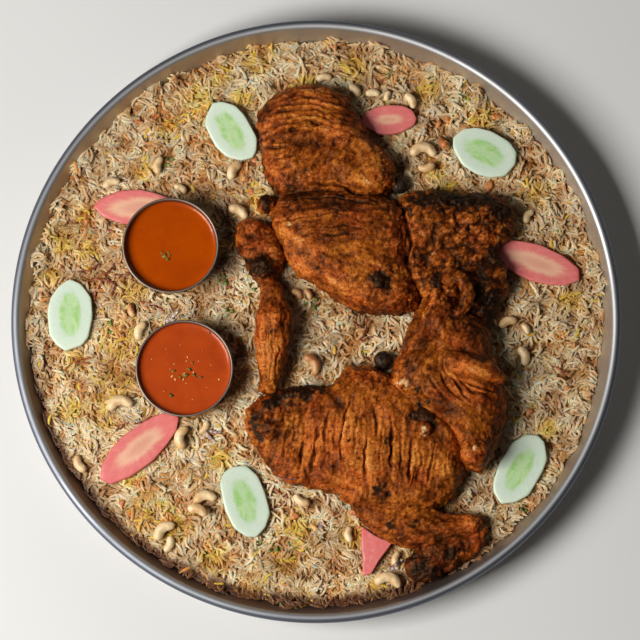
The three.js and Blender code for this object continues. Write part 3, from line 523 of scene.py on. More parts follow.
def make_sauce(node, cup_node, material, ripple, seed):
    """Sauce up to its level, climbing a little at the wall. Gives its centre and its level."""
    cup = cup_shape(cup_node)
    level = float(corners_of(nodes[node].data)[:, 2].max()) - SAUCE_DROP
    middle = level - 0.2 * MM
    bottom = cup.foot + CUP_SHEET + 0.4 * MM
    rises = np.linspace(1.7 * MM, level - cup.foot, 8)
    inset = CUP_SHEET + SAUCE_GAP
    wall = [(float(cup_wall_radius(cup, rise)) - inset, cup.foot + float(rise)) for rise in rises]
    edge = wall[-1][0]
    wall[-1] = (edge, middle + SAUCE_CLIMB)
    surface = []
    for share in SAUCE_STATIONS:
        climb = SAUCE_CLIMB * math.exp(-share * edge / SAUCE_CURVE)
        surface.append((edge * (1 - share), middle + climb))
    profile = [(0, bottom), (wall[0][0] - 2 * MM, bottom)] + wall + surface + [(0, middle)]
    piece = turned(node + "_surface", profile, CUP_STEPS, (cup.x, cup.y))
    corners = corners_of(piece.data)
    on_top = smooth_step(0.0, 3.0 * MM, edge - np.hypot(corners[:, 0] - cup.x, corners[:, 1] - cup.y))
    on_top = on_top * (corners[:, 2] > level - 1 * MM)
    corners[:, 2] += on_top * ripple * layered_noise(corners, 9 * MM, 3, seed)
    move_corners(piece.data, corners)
    finish_piece(piece, material, node.split("_")[0], node)
    return cup.x, cup.y, level


def sauce_material(name, colour, deep, spot, roughness, relief):
    material, shader = new_material(
        name, Specular_IOR_Level=0.28, Specular_Tint=(1.0, 0.6, 0.32, 1.0), Coat_Weight=0.2,
        Coat_Roughness=0.12,
    )
    cloud = noise_socket(material, 22 * MM, 3.0)
    share = range_socket(material, cloud, 0.35, 0.7, 0.0, 1.0)
    tone = mix_socket(material, share, srgb(*colour), srgb(*deep))
    fine = noise_socket(material, 1.6 * MM, 3.0, 0.7)
    speck = range_socket(material, fine, 0.62, 0.72, 0.0, 0.7)
    join(material, mix_socket(material, speck, tone, srgb(*spot)), shader.inputs["Base Color"])
    rough = range_socket(material, cloud, 0.3, 0.7, roughness, roughness + 0.12)
    join(material, rough, shader.inputs["Roughness"])
    bump_into(material, shader, fine, relief * MM, 0.6)
    return material


# Maps of the rice's top and of the lowest thing above it

def tree_of(*names):
    """One search tree over the meshes of several CAD solids."""
    corners = []
    faces = []
    for name in names:
        mesh = nodes[name].data
        start = len(corners)
        corners.extend(vertex.co.copy() for vertex in mesh.vertices)
        faces.extend([start + number for number in face.vertices] for face in mesh.polygons)
    return BVHTree.FromPolygons(corners, faces)


class GroundMap:
    """Heights on a square grid over the platter."""

    def __init__(self):
        self.side = int(round(2 * CAD_HIGH[0] / MAP_STEP)) + 1
        self.low = -CAD_HIGH[0]
        rice = tree_of("rice_bed")
        covering = tree_of(*[name for name in nodes if name not in ("rice_bed", "platter")])
        self.top = np.full((self.side, self.side), np.nan)
        self.ceiling = np.full((self.side, self.side), NO_CEILING)
        up = Vector((0, 0, 1))
        for row in range(self.side):
            for column in range(self.side):
                x = self.low + column * MAP_STEP
                y = self.low + row * MAP_STEP
                hit = rice.ray_cast(Vector((x, y, MAP_RAY_TOP)), -up)[0]
                if hit is None or hit.z < RICE_LOWEST_TOP:
                    continue
                self.top[row, column] = hit.z
                above = covering.ray_cast(Vector((x, y, MAP_RAY_FOOT)), up)[0]
                if above is not None:
                    self.ceiling[row, column] = above.z
        self.smooth_top = self.smoothed(self.top)
        self.open_near = self.widened(self.ceiling == NO_CEILING, 5)

    def smoothed(self, heights):
        """Heights without the solid's facets, with empty cells filled from their neighbours."""
        known = ~np.isnan(heights)
        values = np.where(known, heights, 0.0)
        weights = known.astype(float)
        for _ in range(MAP_BLURS):
            values = self.spread(values)
            weights = self.spread(weights)
        return values / np.maximum(weights, 1e-9)

    @staticmethod
    def spread(values):
        padded = np.pad(values, 1, mode="edge")
        rows = (padded[:-2, 1:-1] + 2 * padded[1:-1, 1:-1] + padded[2:, 1:-1]) / 4
        padded = np.pad(rows, 1, mode="edge")
        return (padded[1:-1, :-2] + 2 * padded[1:-1, 1:-1] + padded[1:-1, 2:]) / 4

    @staticmethod
    def widened(flags, cells):
        for _ in range(cells):
            padded = np.pad(flags, 1)
            flags = flags | padded[:-2, 1:-1] | padded[2:, 1:-1] | padded[1:-1, :-2] | padded[1:-1, 2:]
        return flags

    def cell(self, x, y):
        column = np.clip(np.round((x - self.low) / MAP_STEP).astype(int), 0, self.side - 1)
        row = np.clip(np.round((y - self.low) / MAP_STEP).astype(int), 0, self.side - 1)
        return row, column


# Rice: a core painted brown as the shade beneath thousands of separate grains

def clump_height(x, y):
    """How far the heap of grains stands up or sinks in at each place."""
    flat = flat_places(x, y)
    heap = 1.4 * soft_noise(flat, 26 * MM, 5) + 2.4 * soft_noise(flat, 10.5 * MM, 6)
    crevice = 1 - smooth_step(0.0, 0.26, np.abs(layered_noise(flat, 15 * MM, 2, 7)))
    return (heap - 2.6 * crevice + 0.5) * MM


def wall_climb(x, y):
    """How far the rice climbs the platter's wall, unevenly along its edge."""
    flat = flat_places(x, y)
    uneven = soft_noise(flat, 20 * MM, 9) + 0.9 * soft_noise(flat, 8 * MM, 10)
    return smooth_step(264 * MM, 288 * MM, np.hypot(x, y)) * (2.4 + 4.0 * uneven) * MM


def make_rice_core(ground):
    """The rice's depths just under its grains, painted brown as the shade between them."""
    piece = welded_copy("rice_bed", "rice_core")
    modifier = piece.modifiers.new("Fine", "SUBSURF")
    modifier.subdivision_type = "SIMPLE"
    modifier.levels = 2
    with_modifiers(piece)
    corners = corners_of(piece.data)
    row, column = ground.cell(corners[:, 0], corners[:, 1])
    on_top = corners[:, 2] > RICE_LOWEST_TOP
    drop = CORE_DROP + 0.8 * MM * layered_noise(corners, 6 * MM, 3, 8)
    level = ground.smooth_top[row, column] - drop + clump_height(corners[:, 0], corners[:, 1])
    corners[:, 2] = np.where(on_top, np.minimum(level, corners[:, 2] - 1 * MM), corners[:, 2])
    reach = np.hypot(corners[:, 0], corners[:, 1])
    most = wall_radius(corners[:, 2]) - 1.2 * MM
    pull = np.where(on_top & (reach > most), most / np.maximum(reach, 1e-6), 1.0)
    corners[:, :2] *= pull[:, None]
    move_corners(piece.data, corners)
    piece.data.shade_smooth()
    material, shader = new_material("rice_depths_painted_shade", Roughness=0.8)
    dark = noise_socket(material, 3 * MM, 4.0, 0.6)
    share = range_socket(material, dark, 0.35, 0.7, 0.0, 1.0)
    # A warm brown as painted shade between the grains.
    brown = mix_socket(material, share, srgb(166, 116, 62), srgb(204, 158, 98))
    join(material, brown, shader.inputs["Base Color"])
    bump_into(material, shader, dark, 1.2 * MM)
    finish_piece(piece, material, "rice", "rice_bed")


# Patches of coloured grains: x, y and radius in millimetres
YELLOW_PATCHES = [
    (-118, 218, 17), (-249, 81, 13), (-226, 71, 11), (-182, 26, 13), (-194, -21, 16), (-197, -59, 15),
    (-60, 263, 13), (38, 256, 13), (-16, -209, 14), (-163, -189, 17), (-100, -235, 13), (-216, -85, 12),
    (-238, -40, 10), (35, -212, 10), (178, 108, 12), (132, 128, 12), (165, 205, 12), (250, 20, 10),
    (92, -238, 8), (-60, -262, 11), (-55, 120, 12), (110, 232, 10), (-262, 46, 9), (-74, 222, 9),
    (228, -106, 9), (-146, 196, 11), (60, -262, 8), (-172, 152, 9), (-94, -138, 10), (20, 30, 7),
    (-207, -98, 10), (-243, -88, 10), (-229, 103, 9), (-140, -205, 14), (-182, -150, 12), (118, 150, 9),
    (-30, -240, 12), (-78, -196, 12), (232, 60, 9), (214, 128, 11), (-10, 236, 10), (-92, 246, 11),
]
ORANGE_PATCHES = [
    (-226, 95, 13), (-209, 32, 13), (-190, -2, 13), (-168, -166, 12), (136, 118, 12), (208, 165, 11),
    (190, 135, 9), (-62, 110, 12), (20, -236, 10), (-232, -66, 10), (98, 250, 9), (-130, 232, 9),
    (-70, 150, 10), (245, -20, 9), (-40, -225, 9), (70, 240, 9), (-265, 20, 8), (150, 190, 8),
    (-156, 207, 10), (-139, 199, 9), (-116, 178, 12), (-120, 140, 12), (-160, 172, 9), (-96, 168, 9),
    (-150, -205, 10), (-120, -180, 11), (-186, -128, 9), (-102, -216, 9), (-176, -196, 8), (190, 60, 8),
]

# Painted shadows on the rice beside the cups and the meat
SHADOW_PATCHES = [
    (-86, 99, 9), (-80, 86, 11), (-78, 72, 11), (-86, 56, 9), (-94, 110, 6), (-76, -36, 6), (86, 158, 6),
    (-48, 4, 7), (34, -46, 6), (186, 40, 7), (176, -130, 7), (-40, 30, 6),
]

RICE_SHADES = {
    "rice_saffron": srgb(214, 176, 62),
    "rice_orange": srgb(206, 138, 72),
    "rice_ivory": srgb(228, 205, 173),
    "rice_cream": srgb(224, 199, 166),
    "rice_wheat": srgb(219, 192, 157),
    "rice_tan": srgb(212, 182, 145),
}
BRIGHT_SHADES = ("rice_saffron", "rice_orange")
PLAIN_SHADE_SHARE = 0.26
PATCH_SPREAD = 1.2
MASALA_STAIN = np.array([0.76, 0.48, 0.2])
SAFFRON_STAIN = np.array([0.98, 0.84, 0.28])
BROTH_STAIN = np.array([0.86, 0.74, 0.54])
DEEP_GRAIN_SHADE = np.array([0.9, 0.76, 0.5])
HOLLOW_SHADE = np.array([0.56, 0.36, 0.17])
PAINTED_SHADOW = np.array([0.2, 0.125, 0.07])
FRONT_EDGE_SHADE = np.array([0.2, 0.11, 0.05])


def patch_strength(x, y, patches):
    """How much of a patch's colour the grains at each place take, from 0 to 1."""
    strength = np.zeros_like(x)
    for patch_x, patch_y, radius in patches:
        distance = np.hypot(x - patch_x * MM, y - patch_y * MM) / (radius * PATCH_SPREAD * MM)
        strength = np.maximum(strength, np.exp(-distance ** 3))
    return strength


def stained_and_shaded(colours, corners, layer):
    """Colours of plain grains with stains of broth, masala and saffron, and painted shade in the hollows,
    beside the cups and the meat and at the dish's front edge.

    The layer is 0 for the deepest grains, which broth, masala and the painted shade reach most, and 1 for the
    top ones.
    """
    flat = corners * np.array([1.0, 1.0, 0.3])
    x, y = corners[:, 0], corners[:, 1]
    broken = np.clip(0.75 + 0.7 * soft_noise(flat, 7 * MM, 15), 0, 1.3)
    deep = 1.5 - 1.15 * layer
    broth = smooth_step(-0.25, 0.6, layered_noise(flat, 19 * MM, 2, 11)) * np.clip(deep, 0, 1)
    masala = 0.34 * smooth_step(0.2, 0.55, layered_noise(flat, 9 * MM, 2, 12))
    masala = masala * smooth_step(-0.4, 0.4, soft_noise(flat, 45 * MM, 13))
    masala = masala * deep + 0.9 * broken * patch_strength(x, y, ORANGE_PATCHES) * (1.2 - 0.65 * layer)
    yellow = 1.2 * broken * patch_strength(x, y, YELLOW_PATCHES)
    # Painted shade in the hollows of the heap.
    hollow_shade = (1 - smooth_step(-2.3, 0.6, clump_height(x, y) / MM)) * (0.4 + 0.6 * deep)
    # Painted shadow beside the cups and the meat.
    shade = patch_strength(x, y, SHADOW_PATCHES) * (0.6 + 0.5 * deep)
    # Painted shade on the outermost grains at the front left, beside the wall.
    start = 0.92 - 0.03 * np.clip(-y / CAD_HIGH[0], 0, 1)
    reach = np.hypot(x, y) / CAD_HIGH[0] + 0.008 * soft_noise(flat, 12 * MM, 18)
    front_edge_shade = painted_front_dark_share(x, y) * smooth_step(start, start + 0.03, reach)
    mottled = 0.3 * soft_noise(flat, 18 * MM, 16) + 0.22 * soft_noise(flat, 9 * MM, 17)
    colours = colours * (1 + mottled[:, None] * np.array([1.0, 1.06, 1.14]))
    stains_and_shades = [
        (PAINTED_SHADOW, shade), (FRONT_EDGE_SHADE, front_edge_shade), (HOLLOW_SHADE, hollow_shade), (BROTH_STAIN, broth),
        (MASALA_STAIN, masala), (SAFFRON_STAIN, yellow),
    ]
    for stain, share in stains_and_shades:
        colours = stained_by(colours, stain, np.clip(share, 0, 1))
    return colours


def draw_grains(ground):
    """Places, directions and sizes for all the grains, as one row of values each."""
    reach = CAD_HIGH[0] - EDGE_MARGIN
    count = int(GRAIN_COUNT * 2.2)
    radius = reach * np.sqrt(RNG.random(count))
    angle = RNG.random(count) * 2 * math.pi
    x = radius * np.cos(angle)
    y = radius * np.sin(angle)
    row, column = ground.cell(x, y)
    wanted = ground.open_near[row, column]
    x, y = x[wanted][:GRAIN_COUNT], y[wanted][:GRAIN_COUNT]
    count = len(x)
    shared_turn = 4.2 * soft_noise(flat_places(x, y), BUNCH_SIZE, 21) + RNG.normal(0, 0.3, count)
    in_bunch = RNG.random(count) < BUNCH_SHARE
    grains = {
        "x": x,
        "y": y,
        "turn": np.where(in_bunch, shared_turn, RNG.random(count) * 2 * math.pi),
        "pitch": RNG.normal(0, GRAIN_PITCH, count),
        "length": RNG.normal(*GRAIN_LENGTH[:2], count).clip(*GRAIN_LENGTH[2:]) * MM,
        "width": RNG.normal(*GRAIN_WIDTH[:2], count).clip(*GRAIN_WIDTH[2:]) * MM,
        "bend": RNG.normal(0, GRAIN_BEND, count),
        "arch": RNG.normal(MEAN_ARCH, GRAIN_ARCH, count),
        "layer": RNG.random(count),
        "tone": RNG.normal(0, 1, count),
        "kind": RNG.random(count),
    }
    steep = RNG.random(count) < STEEP_SHARE
    grains["pitch"] = np.where(steep, RNG.uniform(-STEEPEST, STEEPEST, count), grains["pitch"])
    return grains


def settle_grains(ground, grains):
    """Centre lines and directions of the grains, laid clear of everything else, and which of them fit."""
    x, y, turn, pitch = (grains[key] for key in ("x", "y", "turn", "pitch"))
    along = np.concatenate([[0.0], GRAIN_STATIONS, [1.0]])[None, :] - 0.5
    direction = np.column_stack([np.cos(turn) * np.cos(pitch), np.sin(turn) * np.cos(pitch), np.sin(pitch)])
    side = np.column_stack([-np.sin(turn), np.cos(turn), np.zeros(len(x))])
    sag = 1 - 4 * along ** 2
    row, column = ground.cell(x, y)
    level = ground.smooth_top[row, column] + clump_height(x, y)
    level += (DEEPEST_LAYER + LAYER_RISE * grains["layer"]) * MM
    level += wall_climb(x, y)
    centre = np.column_stack([x, y, level])
    line = centre[:, None, :] + direction[:, None, :] * (along * grains["length"][:, None])[..., None]
    line += side[:, None, :] * (sag * grains["bend"][:, None])[..., None]
    line[..., 2] += sag * grains["arch"][:, None]
    half = grains["width"][:, None] / 2
    row, column = ground.cell(line[..., 0], line[..., 1])
    headroom = ground.ceiling[row, column] - CEILING_CLEARANCE - half - line[..., 2]
    line[..., 2] += np.minimum(headroom.min(axis=1), 0)[:, None]
    fits = (line[..., 2] > LOWEST_GRAIN).all(axis=1)
    reach = np.hypot(line[..., 0], line[..., 1])
    beyond = (reach - wall_radius(line[..., 2]) + half + WALL_CLEARANCE).max(axis=1).clip(0, None)
    fits &= beyond < FURTHEST_PULL
    outward = centre[:, :2] / np.linalg.norm(centre[:, :2], axis=1)[:, None]
    line[..., :2] -= (outward * beyond[:, None])[:, None, :]
    for node in ("cup_1", "cup_2"):
        cup = cup_shape(node)
        away = np.hypot(line[..., 0] - cup.x, line[..., 1] - cup.y)
        rise = np.clip(line[..., 2] - cup.foot, 0.1 * MM, cup.rise)
        fits &= (away > cup_wall_radius(cup, rise) + half + CUP_CLEARANCE).all(axis=1)
    return line, side, direction, fits


def grain_mesh(name, line, side, direction, grains):
    """One mesh of many grains: curved, slightly flat rods with blunt ends. Also gives the number of corners
    in a grain.

    Their shading normals lean upwards, because cooked rice lets light through and shades softly.
    """
    count = len(line)
    over = np.cross(direction, side)
    phase = 2 * math.pi * np.arange(GRAIN_SIDES) / GRAIN_SIDES
    spin = grains["kind"] * 6.28
    cosine = np.cos(phase[None, :] + spin[:, None])
    sine = np.sin(phase[None, :] + spin[:, None]) * GRAIN_FLATNESS
    ring = side[:, None, :] * cosine[..., None] + over[:, None, :] * sine[..., None]
    radius = grains["width"][:, None] / 2 * GRAIN_FULLNESS[None, :]
    rings = line[:, 1:-1, None, :] + ring[:, None, :, :] * radius[:, :, None, None]
    tips = np.stack([line[:, 0], line[:, -1]], axis=1)
    per_grain = GRAIN_SIDES * len(GRAIN_STATIONS) + 2
    corners = np.concatenate([rings.reshape(count, -1, 3), tips], axis=1).reshape(-1, 3)
    pattern = []
    for station in range(len(GRAIN_STATIONS) - 1):
        for place in range(GRAIN_SIDES):
            near = station * GRAIN_SIDES
            after = (place + 1) % GRAIN_SIDES
            pattern.append((near + place, near + after, near + GRAIN_SIDES + after))
            pattern.append((near + place, near + GRAIN_SIDES + after, near + GRAIN_SIDES + place))
    last = (len(GRAIN_STATIONS) - 1) * GRAIN_SIDES
    for place in range(GRAIN_SIDES):
        after = (place + 1) % GRAIN_SIDES
        pattern.append((after, place, per_grain - 2))
        pattern.append((last + place, last + after, per_grain - 1))
    faces = (np.array(pattern)[None] + per_grain * np.arange(count)[:, None, None]).reshape(-1, 3)
    mesh = bpy.data.meshes.new(name)
    mesh.vertices.add(len(corners))
    mesh.vertices.foreach_set("co", corners.astype(np.float32).ravel())
    mesh.loops.add(faces.size)
    mesh.loops.foreach_set("vertex_index", faces.astype(np.int32).ravel())
    mesh.polygons.add(len(faces))
    mesh.polygons.foreach_set("loop_start", (np.arange(len(faces)) * 3).astype(np.int32))
    mesh.update(calc_edges=True)
    mesh.shade_smooth()
    lifted = normals_of(mesh) + np.array([0, 0, SHADING_LIFT])
    lifted /= np.maximum(np.linalg.norm(lifted, axis=1), 1e-6)[:, None]
    mesh.normals_split_custom_set_from_vertices(lifted.tolist())
    return link_object(name, mesh), per_grain


def rice_material():
    material, shader = new_material(
        "cooked_rice", Specular_IOR_Level=0.35, Subsurface_Weight=0.85, Subsurface_Scale=3.0 * MM,
        Subsurface_Radius=(1.0, 0.66, 0.38))
    tint = attribute_socket(material, "tint")
    cloud = noise_socket(material, 5 * MM, 3.0)
    share = range_socket(material, cloud, 0.4, 0.75, 0.0, 0.4)
    clouded = mix_socket(material, share, tint, srgb(232, 196, 146), "MULTIPLY")
    join(material, clouded, shader.inputs["Base Color"])
    join(material, range_socket(material, cloud, 0.3, 0.7, 0.38, 0.6), shader.inputs["Roughness"])
    return material


def make_rice(ground):
    """The rice's core, and its grains as one piece for each shade."""
    make_rice_core(ground)
    grains = draw_grains(ground)
    line, side, direction, fits = settle_grains(ground, grains)
    yellow = patch_strength(grains["x"], grains["y"], YELLOW_PATCHES)
    orange = patch_strength(grains["x"], grains["y"], ORANGE_PATCHES)
    kind = grains["kind"]
    plain_number = (RNG.random(len(kind)) / PLAIN_SHADE_SHARE).astype(int)
    is_saffron = kind < 0.01 + 0.14 * yellow
    is_orange = ~is_saffron & (kind > 0.992 - 0.12 * orange)
    number = np.where(is_saffron, 0, np.where(is_orange, 1, 2 + plain_number))
    material = rice_material()
    for place, (name, shade) in enumerate(RICE_SHADES.items()):
        chosen = (number == place) & fits
        own = {key: values[chosen] for key, values in grains.items()}
        piece, per_grain = grain_mesh(name, line[chosen], side[chosen], direction[chosen], own)
        bright = np.clip(1 + 0.04 * own["tone"], 0.7, 1.25)
        colours = shade[None, :] * bright[:, None]
        # Deeper grains get a warm painted shade.
        colours = colours * blend_colours(DEEP_GRAIN_SHADE, np.ones(3), smooth_step(0.0, 0.7, own["layer"]))
        warm = np.clip(0.5 + 0.5 * RNG.normal(0, 1, len(bright)), 0, 1)
        colours = colours * (1 - warm[:, None] * np.array([0.0, 0.03, 0.09])[None, :])
        colours = np.repeat(colours, per_grain, axis=0)
        if name not in BRIGHT_SHADES:
            colours = stained_and_shaded(colours, corners_of(piece.data), np.repeat(own["layer"], per_grain))
        paint(piece.data, "tint", colours)
        finish_piece(piece, material, "rice", "rice_bed")


# Meat

def path_points(path, spacing=1.5):
    """Evenly spaced points on a smooth curve through a path's places, in millimetres."""
    path = np.array(path, float)
    if len(path) == 2:
        path = np.array([path[0], path.mean(axis=0), path[1]])
    ends = np.vstack([2 * path[0] - path[1], path, 2 * path[-1] - path[-2]])
    points = []
    for number in range(1, len(ends) - 2):
        before, start, end, after = ends[number - 1:number + 3]
        steps = max(2, int(np.linalg.norm(end - start) / spacing))
        for share in np.arange(steps) / steps:
            points.append(0.5 * (
                2 * start + (end - before) * share
                + (2 * before - 5 * start + 4 * end - after) * share ** 2
                + (3 * start - before - 3 * end + after) * share ** 3))
    points.append(path[-1])
    return np.array(points)


def path_distance(places, path, reach):
    """Distance from each place to a path and the share along it, far off beyond reach."""
    points = path_points(path)
    distance = np.full(len(places), 1e3)
    share = np.zeros(len(places))
    low = points.min(axis=0) - reach
    high = points.max(axis=0) + reach
    near = np.flatnonzero(((places > low) & (places < high)).all(axis=1))
    if not len(near):
        return distance, share
    best = np.full(len(near), 1e3)
    best_share = np.zeros(len(near))
    count = len(points) - 1
    for number in range(count):
        start, end = points[number], points[number + 1]
        step = end - start
        offset = places[near] - start
        along = np.clip(offset @ step / max(step @ step, 1e-9), 0, 1)
        gap = np.linalg.norm(offset - along[:, None] * step, axis=1)
        closer = gap < best
        best[closer] = gap[closer]
        best_share[closer] = ((number + along) / count)[closer]
    distance[near] = best
    share[near] = best_share
    return distance, share


def fine_copy(node, name, voxel, smoothing):
    """A fine, smooth mesh in the place of a CAD solid."""
    piece = welded_copy(node, name)
    remesh = piece.modifiers.new("Remesh", "REMESH")
    remesh.mode = "VOXEL"
    remesh.voxel_size = voxel
    smooth = piece.modifiers.new("Smooth", "SMOOTH")
    smooth.factor = 0.5
    smooth.iterations = smoothing
    return with_modifiers(piece)


# Colours of the meat, from its deepest creases to its brightest tips
MEAT_TONES = [
    (0.0, srgb(38, 12, 3)),
    (0.22, srgb(80, 31, 6)),
    (0.42, srgb(117, 53, 13)),
    (0.6, srgb(149, 73, 20)),
    (0.78, srgb(181, 97, 31)),
    (1.0, srgb(202, 122, 52)),
    (1.3, srgb(222, 156, 90)),
]
CHAR = srgb(10, 7, 7)
RED = srgb(152, 52, 24)
TAN = srgb(224, 156, 84)
GOLDEN = np.array([1.0, 1.08, 0.8])
RUDDY = np.array([1.02, 0.84, 0.8])
BONE = srgb(222, 182, 128)


def tone_colours(tone, tones):
    """Colour for each tone, from a list of tones and their colours."""
    stops = [stop for stop, _ in tones]
    channels = [np.interp(tone, stops, [colour[channel] for _, colour in tones]) for channel in range(3)]
    return np.column_stack(channels)


def blob_strength(places, blobs, power=2.0):
    """Strongest of several soft spots at each place. A spot is x, y, radius and amount."""
    strength = np.zeros(len(places))
    for x, y, radius, amount in blobs:
        distance = np.hypot(places[:, 0] - x, places[:, 1] - y) / radius
        strength = np.maximum(strength, amount * np.exp(-distance ** power))
    return strength


def torn_relief(corners, places, regions, seed):
    """Height of torn fibres, about -1 to 1, the creases between them, 0 to 1, and long streaks.

    A region is x, y, radius, direction in degrees, fibre width, stretch and strength.
    """
    height = np.zeros(len(corners))
    crease = np.zeros(len(corners))
    streak = np.zeros(len(corners))
    whole = np.full(len(corners), 1e-3)
    for number, (x, y, radius, turn, width, stretch, strength) in enumerate(regions):
        weight = strength * np.exp(-(np.hypot(places[:, 0] - x, places[:, 1] - y) / radius) ** 4)
        near = weight > 0.01
        angle = math.radians(turn)
        along = places[near] @ np.array([math.cos(angle), math.sin(angle)])
        across = places[near] @ np.array([-math.sin(angle), math.cos(angle)])
        flat = np.column_stack([along, across, corners[near, 2] / MM])
        wander = 2.8 * soft_noise(flat, 24.0, seed + number) + 1.1 * soft_noise(flat, 8.0, seed + 20 + number)
        grid = np.column_stack([along / stretch, across + wander, 0.6 * flat[:, 2]])
        broad = np.abs(soft_noise(grid, width, seed + 40 + number))
        thin = np.abs(soft_noise(grid * 1.07, width * 0.47, seed + 60 + number))
        lines = np.maximum(1 - smooth_step(0.02, 0.2, broad), 0.6 * (1 - smooth_step(0.02, 0.2, thin)))
        strands = np.column_stack([grid[:, 0] / 2.4, grid[:, 1], grid[:, 2]])
        height[near] += weight[near] * (1.5 * broad + 0.9 * thin - 0.85)
        crease[near] += weight[near] * lines
        streak[near] += weight[near] * soft_noise(strands, width * 0.9, seed + 80 + number)
        whole[near] += weight[near]
    return height / whole, crease / whole, streak / whole


def billows(corners, size, seed):
    """Rounded lumps, from 0 to about 1, and the creases between them, from 0 to 1."""
    shift = np.column_stack([soft_noise(corners, size * 1.3, seed + axis) for axis in range(3)])
    bent = corners + 0.3 * size * shift
    large = np.abs(soft_noise(bent, size, seed + 5))
    small = np.abs(soft_noise(bent, size * 0.45, seed + 6))
    crease = np.maximum(1 - smooth_step(0.03, 0.2, large), 0.5 * (1 - smooth_step(0.03, 0.18, small)))
    return large + 0.45 * small, crease


def stroke_strength(places, strokes):
    """Sum of soft strokes, each given as path, width and amount."""
    strength = np.zeros(len(places))
    for path, width, amount in strokes:
        distance, share = path_distance(places, path, width * 2.5)
        taper = np.sin(np.pi * np.clip(share, 0.06, 0.94)) ** 0.4
        strength += amount * np.exp(-(distance / width) ** 2) * taper
    return strength


def side_shifts(corners, size, seed):
    """Smooth random shifts in x and y at each corner."""
    return np.column_stack([soft_noise(corners, size, seed), soft_noise(corners, size, seed + 1)])


def cut_slashes(relief, places, slashes, breaks, exposed):
    """Cuts the slashes into a relief. Gives how deep in a slash and how high on its lip each place is."""
    groove = np.zeros(len(places))
    lips = np.zeros(len(places))
    for path, width, depth in slashes:
        distance, share = path_distance(places, path, width * 3)
        taper = np.sin(np.pi * np.clip(share, 0.03, 0.97)) ** 0.5
        wide = width * np.clip(breaks, 0.35, 1.4)
        cut = np.exp(-(distance / (wide * 0.62)) ** 2) * taper * np.clip(breaks, 0.3, 1)
        lip = np.exp(-((distance - wide * 1.6) / (wide * 0.9)) ** 2) * taper
        relief += depth * (0.28 * lip - cut) * exposed
        groove = np.maximum(groove, cut * min(1.0, depth / 3))
        lips = np.maximum(lips, lip * min(1.0, depth / 3))
    return groove, lips


def raise_folds(relief, places, folds, lips, exposed):
    """Raises the folds on a relief. Gives the lips with the folds' tops among them."""
    for path, width, rise in folds:
        distance, share = path_distance(places, path, width * 3)
        taper = np.sin(np.pi * np.clip(share, 0.05, 0.95)) ** 0.5
        fold = np.exp(-(distance / width) ** 2) * taper
        relief += rise * fold * exposed
        lips = np.maximum(lips, 0.8 * fold)
    return lips


MeatForm = namedtuple(
    "MeatForm", "relief fibres crease streak knobs knob_crease heaps heap_crease rough sleek ragged grit "
    "strokes groove lips jitter char")


def meat_form(base, normals, look, seed):
    """The meat's relief in millimetres, and everything in its form that its colours follow."""
    places = base[:, :2] / MM
    exposed = smooth_step(-0.3, 0.4, normals[:, 2])
    sleek = blob_strength(places, look["sleek"], 4.0)
    edge = 1 - np.abs(normals[:, 2])
    lumps = layered_noise(base, 16 * MM, 2, seed)
    crumb = layered_noise(base, 3.2 * MM, 3, seed + 3)
    ragged = layered_noise(base, 8 * MM, 3, seed + 6)
    rough = blob_strength(places, look["rough"], 4.0)
    fibres, crease, streak = torn_relief(base, places, look["fibres"], seed + 200)
    knobs, knob_crease = billows(base, 7 * MM, seed + 30)
    heaps, heap_crease = billows(base, 11 * MM, seed + 40)
    grit = layered_noise(base, 2.6 * MM, 2, seed + 9)
    relief = 0.8 * fibres - 0.5 * crease + 0.6 * crumb + 0.35 * grit
    relief += 0.6 * (knobs - 0.4) - 0.2 * knob_crease
    relief *= 1 - 0.85 * sleek
    relief += 1.5 * lumps
    relief += rough * (1.9 * (heaps - 0.4) - 0.7 * heap_crease)
    relief += (0.5 - 0.4 * sleek + 0.9 * rough + 1.9 * edge) * ragged + SIDE_SWELL * edge
    frayed = places + 1.7 * side_shifts(base, 9 * MM, seed + 50)
    breaks = 0.85 + 0.5 * soft_noise(base, 13 * MM, seed + 52)
    strokes = stroke_strength(frayed, look["strokes"])
    relief += 2.2 * strokes
    groove, lips = cut_slashes(relief, frayed, look["slashes"], breaks, exposed)
    lips = raise_folds(relief, frayed, look["folds"], lips, exposed)
    jitter = side_shifts(base, 5 * MM, seed + 55)
    char = blob_strength(places + 4.6 * jitter, look["char"])
    char = np.maximum(char, stroke_strength(places + 3.0 * jitter, look["scorched"]))
    relief += 1.1 * char * crumb
    return MeatForm(
        relief, fibres, crease, streak, knobs, knob_crease, heaps, heap_crease, rough, sleek, ragged, grit,
        strokes, groove, lips, jitter, char)


